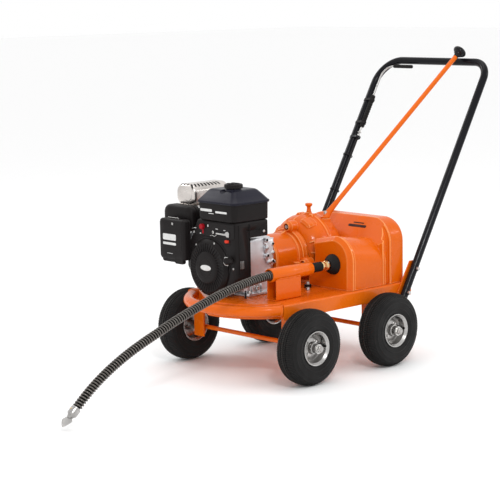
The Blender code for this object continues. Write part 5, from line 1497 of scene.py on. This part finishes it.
def add_gear_case():
    bm = bmesh.new()
    skin_into(bm, turned_rings(case_profile(0), CASE_AT, X, 160))
    # lugs of the joint, where neither the deck nor the lever's tower is in their way
    lugs = [(i, *about(CRANK_Y, CASE_Z, 0.1235, 15 + 30 * i)) for i in range(12)]
    lugs = [(i, y, z) for i, y, z in lugs if z > DECK_TOP + 0.016 and not (y < 0.030 and z > 0.47)]
    lug = mm([(164, 0), (164, 9.8), (165.5, 11), (193, 11), (194.5, 9.8), (194.5, 0)])
    for i, y, z in lugs:
        skin_into(bm, turned_rings(lug, on(0, y, z), X, 24))
    # raised pad on the shoulder of the dome, and ribs fanning out from it
    for centre, half_turn, reach in ((118, 13, 0.1310), (205, 12, 0.1290), (28, 12, 0.1290)):
        rows = []
        for k in range(13):
            turn = centre - half_turn + half_turn * 2 * k / 12
            edge = 0.004 if k in (0, 12) else (0.0015 if k in (1, 11) else 0)
            rows.append([on(x, *about(CRANK_Y, CASE_Z, r, turn)) for x, r in
                         ((0.1080 + edge, 0.090), (0.1090 + edge, reach - 0.0160 - edge),
                          (0.1150, reach - 0.0080 - edge), (0.1300, reach - 0.0020 - edge),
                          (0.1520 - edge, reach - 0.0015 - edge), (0.1545 - edge, 0.090))])
        skin_into(bm, rows)
    for turn in (68, 90, 158, 180):
        direction = Vector((0, *about(0, 0, 1, turn)))
        side = direction.cross(X) * 0.0022
        rib = mm([(95, 80), (98.5, 103), (116, 118), (150, 127.5), (172, 129), (172, 80)])
        rows = [[CASE_AT + X * x + direction * r + s for x, r in rib] for s in (side, -side)]
        skin_into(bm, rows)
    pivot = on(*SHIFT_PIVOT)
    tower = mm([(-42, 0), (-42, 33), (-30, 29), (-20, 22.5), (-14, 19.5), (-2, 17.8), (-0.4, 16.8),
                (-0.4, 0)])
    skin_into(bm, turned_rings(tower, pivot, Z, 48))
    filler = mm([(495, 0), (495, 17.5), (506, 16), (512, 12.6), (524.5, 12.2), (526.8, 11), (526.8, 0)])
    skin_into(bm, turned_rings(filler, on(*BREATHER_AT, 0), Z, 40))
    box_into(bm, on(0.1060, -0.004, ON_DECK), on(0.2380, 0.144, DECK_TOP + 0.0100))
    case = piece("gearbox", bm, "cast_orange", sharp=180, stands_for=["gear_case"])
    below = box_tool(on(0.05, -0.10, 0.20), on(0.30, 0.25, DECK_TOP + 0.0003))
    room = tool(turned_rings(case_profile(0.007), CASE_AT, X, 64))
    shaft_in = drill(0.06, 0.13, 0.0186, CRANK_AT, X, 40)
    shaft_out = drill(0.20, 0.27, 0.0160, LAYSHAFT_AT, X, 40)
    shift_bore = drill(-0.060, 0.01, 0.0074, pivot, Z, 32)
    cast(case, 0.0016, 4)
    combine(case, "DIFFERENCE", [room, below, shaft_in, shaft_out, shift_bore], sharp=60)
    for i, y, z in lugs:
        bolt("case_bolt_%d" % i, on(0.1642, y, z), -X, 0.0100, "orange_paint", washer=False)
    top = 0.5273
    plug = shifted([(0, 0), (0, 9.5), (1.6, 9.8), (3, 8.5), (15, 7.2), (19, 7.8), (22.2, 11.2), (24, 13),
                    (26.2, 13.6), (29.5, 13.5), (31.8, 12), (32.8, 9), (33, 0)], top)
    turned("breather", plug, on(*BREATHER_AT, 0), Z, "orange_paint", steps=48, stands_for=["breather_plug"])


COVER_FRONT, COVER_STEP, COVER_REAR = 0.085, 0.250, 0.380
COVER_LEFT, COVER_RIGHT, COVER_TOP = -0.235, 0.195, 0.512
NOSE_RIGHT, NOSE_TOP = -0.030, 0.467
ARCH = 0.085
SLOPE_FOOT, SLOPE_HEAD = 0.425, 0.310       # height where the lean starts, and place where it ends


def arch(x, left, right, top, left_radius, right_radius, bottom):
    """Upside-down U across the cover, from its right foot over the top to its left foot."""
    points = [(right, bottom)]
    points += arc((right - right_radius, top - right_radius), right_radius, 0, 90, 14)
    points += arc((left + left_radius, top - left_radius), left_radius, 90, 180, 14)
    points += [(left, bottom)]
    return [Vector((x, y, z)) for y, z in points]


def hood_section(x, shrink, bottom):
    radius = ARCH - shrink
    ring = arch(x, COVER_LEFT + shrink, COVER_RIGHT - shrink, COVER_TOP - shrink, radius, radius, bottom)
    return [on(*p) for p in ring]


def nose_section(x, shrink, bottom, inset=0.0):
    top = NOSE_TOP - 0.13 * (x - COVER_FRONT) - shrink
    ring = arch(x, COVER_LEFT + shrink, NOSE_RIGHT - inset, top, ARCH - shrink, 0.030 - inset, bottom)
    lowered = [ring[0]] + [p - Z * 0.2 * max(0.0, p.y - SPINDLE_Y) for p in ring[1:]]
    return [on(*p) for p in lowered]


def cover_form(name, inset, bottom, look, body, stands_for=()):
    """Tall hood with a leaning front face, and the low nose in front of it, as one closed form."""
    if inset:
        hood_run = [(COVER_STEP + inset, inset + 0.010), (0.298 + inset, inset + 0.006), (0.306, inset),
                    (COVER_REAR - 0.024, inset), (COVER_REAR - inset, inset + 0.020)]
        nose_run = [(COVER_FRONT + inset, inset + 0.012), (COVER_FRONT + 0.018, inset), (0.275, inset)]
    else:
        hood_run = shifted([(0, 12.5), (2.6, 6), (4, -2.6), (7.5, -4.2), (11.2, -2.6), (13, 7.8)],
                           COVER_STEP)
        hood_run += mm([(291.5, 8.4), (293.5, -1.8), (297.2, -4), (301.5, -2.8), (306, 0)])
        hood_run += shifted([(-26, 0), (-15, 1.2), (-7, 4.8), (-2, 11.2), (0, 19)], COVER_REAR)
        nose_run = shifted([(0, 17), (1.2, 14), (3, 12.2), (12, 1.6), (14.5, -1.8), (17.5, -2.6),
                            (20, -1.2),
                            (21.8, 3.8), (24.5, 3.6), (27.5, 0)], COVER_FRONT) + [(0.275, 0.0)]
    form = skin(name, [hood_section(x, shrink, bottom) for x, shrink in hood_run], look, body, sharp=180,
                stands_for=stands_for)
    lean = [(COVER_STEP - 0.05, SLOPE_FOOT), (COVER_STEP, SLOPE_FOOT), (SLOPE_HEAD, COVER_TOP),
            (SLOPE_HEAD, COVER_TOP + 0.02), (COVER_STEP - 0.05, COVER_TOP + 0.02)]
    slope = tool([[on(x + 1.3 * inset, y, z) for x, z in lean] for y in (-0.3, 0.3)])
    nose = tool([nose_section(x, shrink, bottom, inset) for x, shrink in nose_run])
    combine(form, "DIFFERENCE", [slope])
    return combine(form, "UNION", [nose])


def add_drive_cover():
    cover = cover_form("drive_hood", 0.0, ON_DECK, "orange_plastic", "cart", ["drive_cover"])
    # feet of the two pleats
    feet = []
    for x, deep in ((0.2560, 0.0060), (0.3010, 0.0050)):
        wedge = [[on(x + s, y, z) for y, z in
                  ((COVER_LEFT + 0.010, ON_DECK), (COVER_LEFT - 0.0006, ON_DECK),
                   (COVER_LEFT - 0.0006, DECK_TOP + 0.0060), (COVER_LEFT + 0.0045, DECK_TOP + 0.0200),
                   (COVER_LEFT + 0.010, DECK_TOP + 0.0200))] for s in (-0.001, 0.0010 + deep)]
        feet.append(tool(wedge))
    combine(cover, "UNION", feet)
    cast(cover, 0.0016, 2)
    cutters = [cover_form("tool", 0.005, DECK_TOP - 0.02, None, None),
               drill(0.05, 0.2475, CASE_RADIUS + 0.008, CASE_AT, X, 96),
               drill(0.24, 0.275, 0.0165, LAYSHAFT_AT, X, 32),
               drill(0.07, 0.11, 0.0262, SPINDLE_AT, X, 48)]
    combine(cover, "DIFFERENCE", cutters, sharp=50)
    normal = Vector((-(COVER_TOP - SLOPE_FOOT), 0, SLOPE_HEAD - COVER_STEP)).normalized()
    for i, (t, y0, y1, wide) in enumerate(((0.60, -0.128, -0.040, 0.0050), (0.72, -0.112, -0.060, 0.0020))):
        x = COVER_STEP + (SLOPE_HEAD - COVER_STEP) * t
        z = SLOPE_FOOT + (COVER_TOP - SLOPE_FOOT) * t
        along = Vector((SLOPE_HEAD - COVER_STEP, 0, COVER_TOP - SLOPE_FOOT)).normalized()
        outline = round_rect((y0, -wide), (y1, wide), wide * 0.9, 5)
        rows = [on(x, y, z) + along * a + normal * 0.0005 for y, a in outline]
        slab("hood_stripe_%d" % i, rows, normal, 0.0008, "decal_dark", bevel=0)
    screw_head("hood_screw_side", on(0.345, COVER_RIGHT + 0.0003, DECK_TOP + 0.013), Y, 0.0055, "zinc")
    for i, y in enumerate((-0.150, 0.110)):
        screw_head("hood_screw_%d" % i, on(COVER_REAR + 0.0003, y, DECK_TOP + 0.013), X, 0.0055, "zinc")


def add_deck_details():
    for i, (x, y, lift) in enumerate(((0.045, -0.063, 0.012), (0.010, -0.098, 0.0), (-0.155, -0.103, 0.0),
                                      (0.010, 0.215, 0.0), (-0.215, 0.190, 0.0))):
        at = on(x, y, ON_DECK)
        if lift:
            turned("deck_spacer_%d" % i, [(0, 0), (0, 0.0120), (0.0010, 0.0130), (lift - 0.001, 0.0130),
                                          (lift, 0.0120), (lift, 0)], at, Z, "rubber", steps=36)
        bolt("deck_bolt_%d" % i, at + Z * (lift + 0.0002), Z, 0.0130, "zinc")
    stub = mm([(0, 0), (0, 3.5), (26, 3.5), (28, 2.2), (28, 0)])
    turned("ground_stud", stub, on(-0.2560, -0.0550, ON_DECK), Z, "black_paint", steps=20)


# ---- build ----------------------------------------------------------------------------------
add_camera()
finish_frame()
add_cable()
add_wheels()
add_axles()
add_deck()
add_legs()
add_handle()
add_control()
add_control_cable()
add_shift_lever()
add_guide()
add_cable_end()
add_engine_block()
add_crankcase_cover()
add_cylinder()
add_shroud()
add_recoil()
add_starter_grip()
add_tank()
add_silencer()
add_air_cleaner()
add_panel_controls()
add_bell_housing()
add_gear_case()
add_drive_cover()
add_deck_details()


# ---- studio ---------------------------------------------------------------------------------
def add_studio():
    """A pale floor, large soft lights, and a pale surround."""
    bm = bmesh.new()
    bmesh.ops.create_grid(bm, x_segments=1, y_segments=1, size=40)
    floor = piece("floor", bm, None, None)
    paper = bpy.data.materials.new("paper")
    paper.use_nodes = True
    paper.node_tree.nodes["Principled BSDF"].inputs["Base Color"].default_value = (0.97, 0.97, 0.97, 1)
    paper.node_tree.nodes["Principled BSDF"].inputs["Roughness"].default_value = 0.7
    floor.data.materials.append(paper)
    world = bpy.data.worlds.new("surround")
    world.use_nodes = True
    world.node_tree.nodes["Background"].inputs["Color"].default_value = (1.0, 1.0, 1.0, 1)
    world.node_tree.nodes["Background"].inputs["Strength"].default_value = 1.0
    bpy.context.scene.world = world
    bpy.context.scene.view_settings.view_transform = "Standard"
    lamps = (("key", (-2.6, -3.4, 3.6), 0.7, 60), ("fill", (3.2, -2.8, 2.4), 0.8, 14),
             ("back", (-1.0, 3.6, 3.2), 1.0, 22), ("top", (0.2, 0.3, 4.0), 2.0, 18))
    for name, place, size, power in lamps:
        lamp = bpy.data.objects.new(name, bpy.data.lights.new(name, "AREA"))
        lamp.data.shape = "DISK"
        lamp.data.size = size
        lamp.data.energy = power
        lamp.location = place
        lamp.rotation_euler = (Vector(place) - Vector((0, 0, 0.4))).to_track_quat("Z", "Y").to_euler()
        bpy.context.scene.collection.objects.link(lamp)


add_studio()
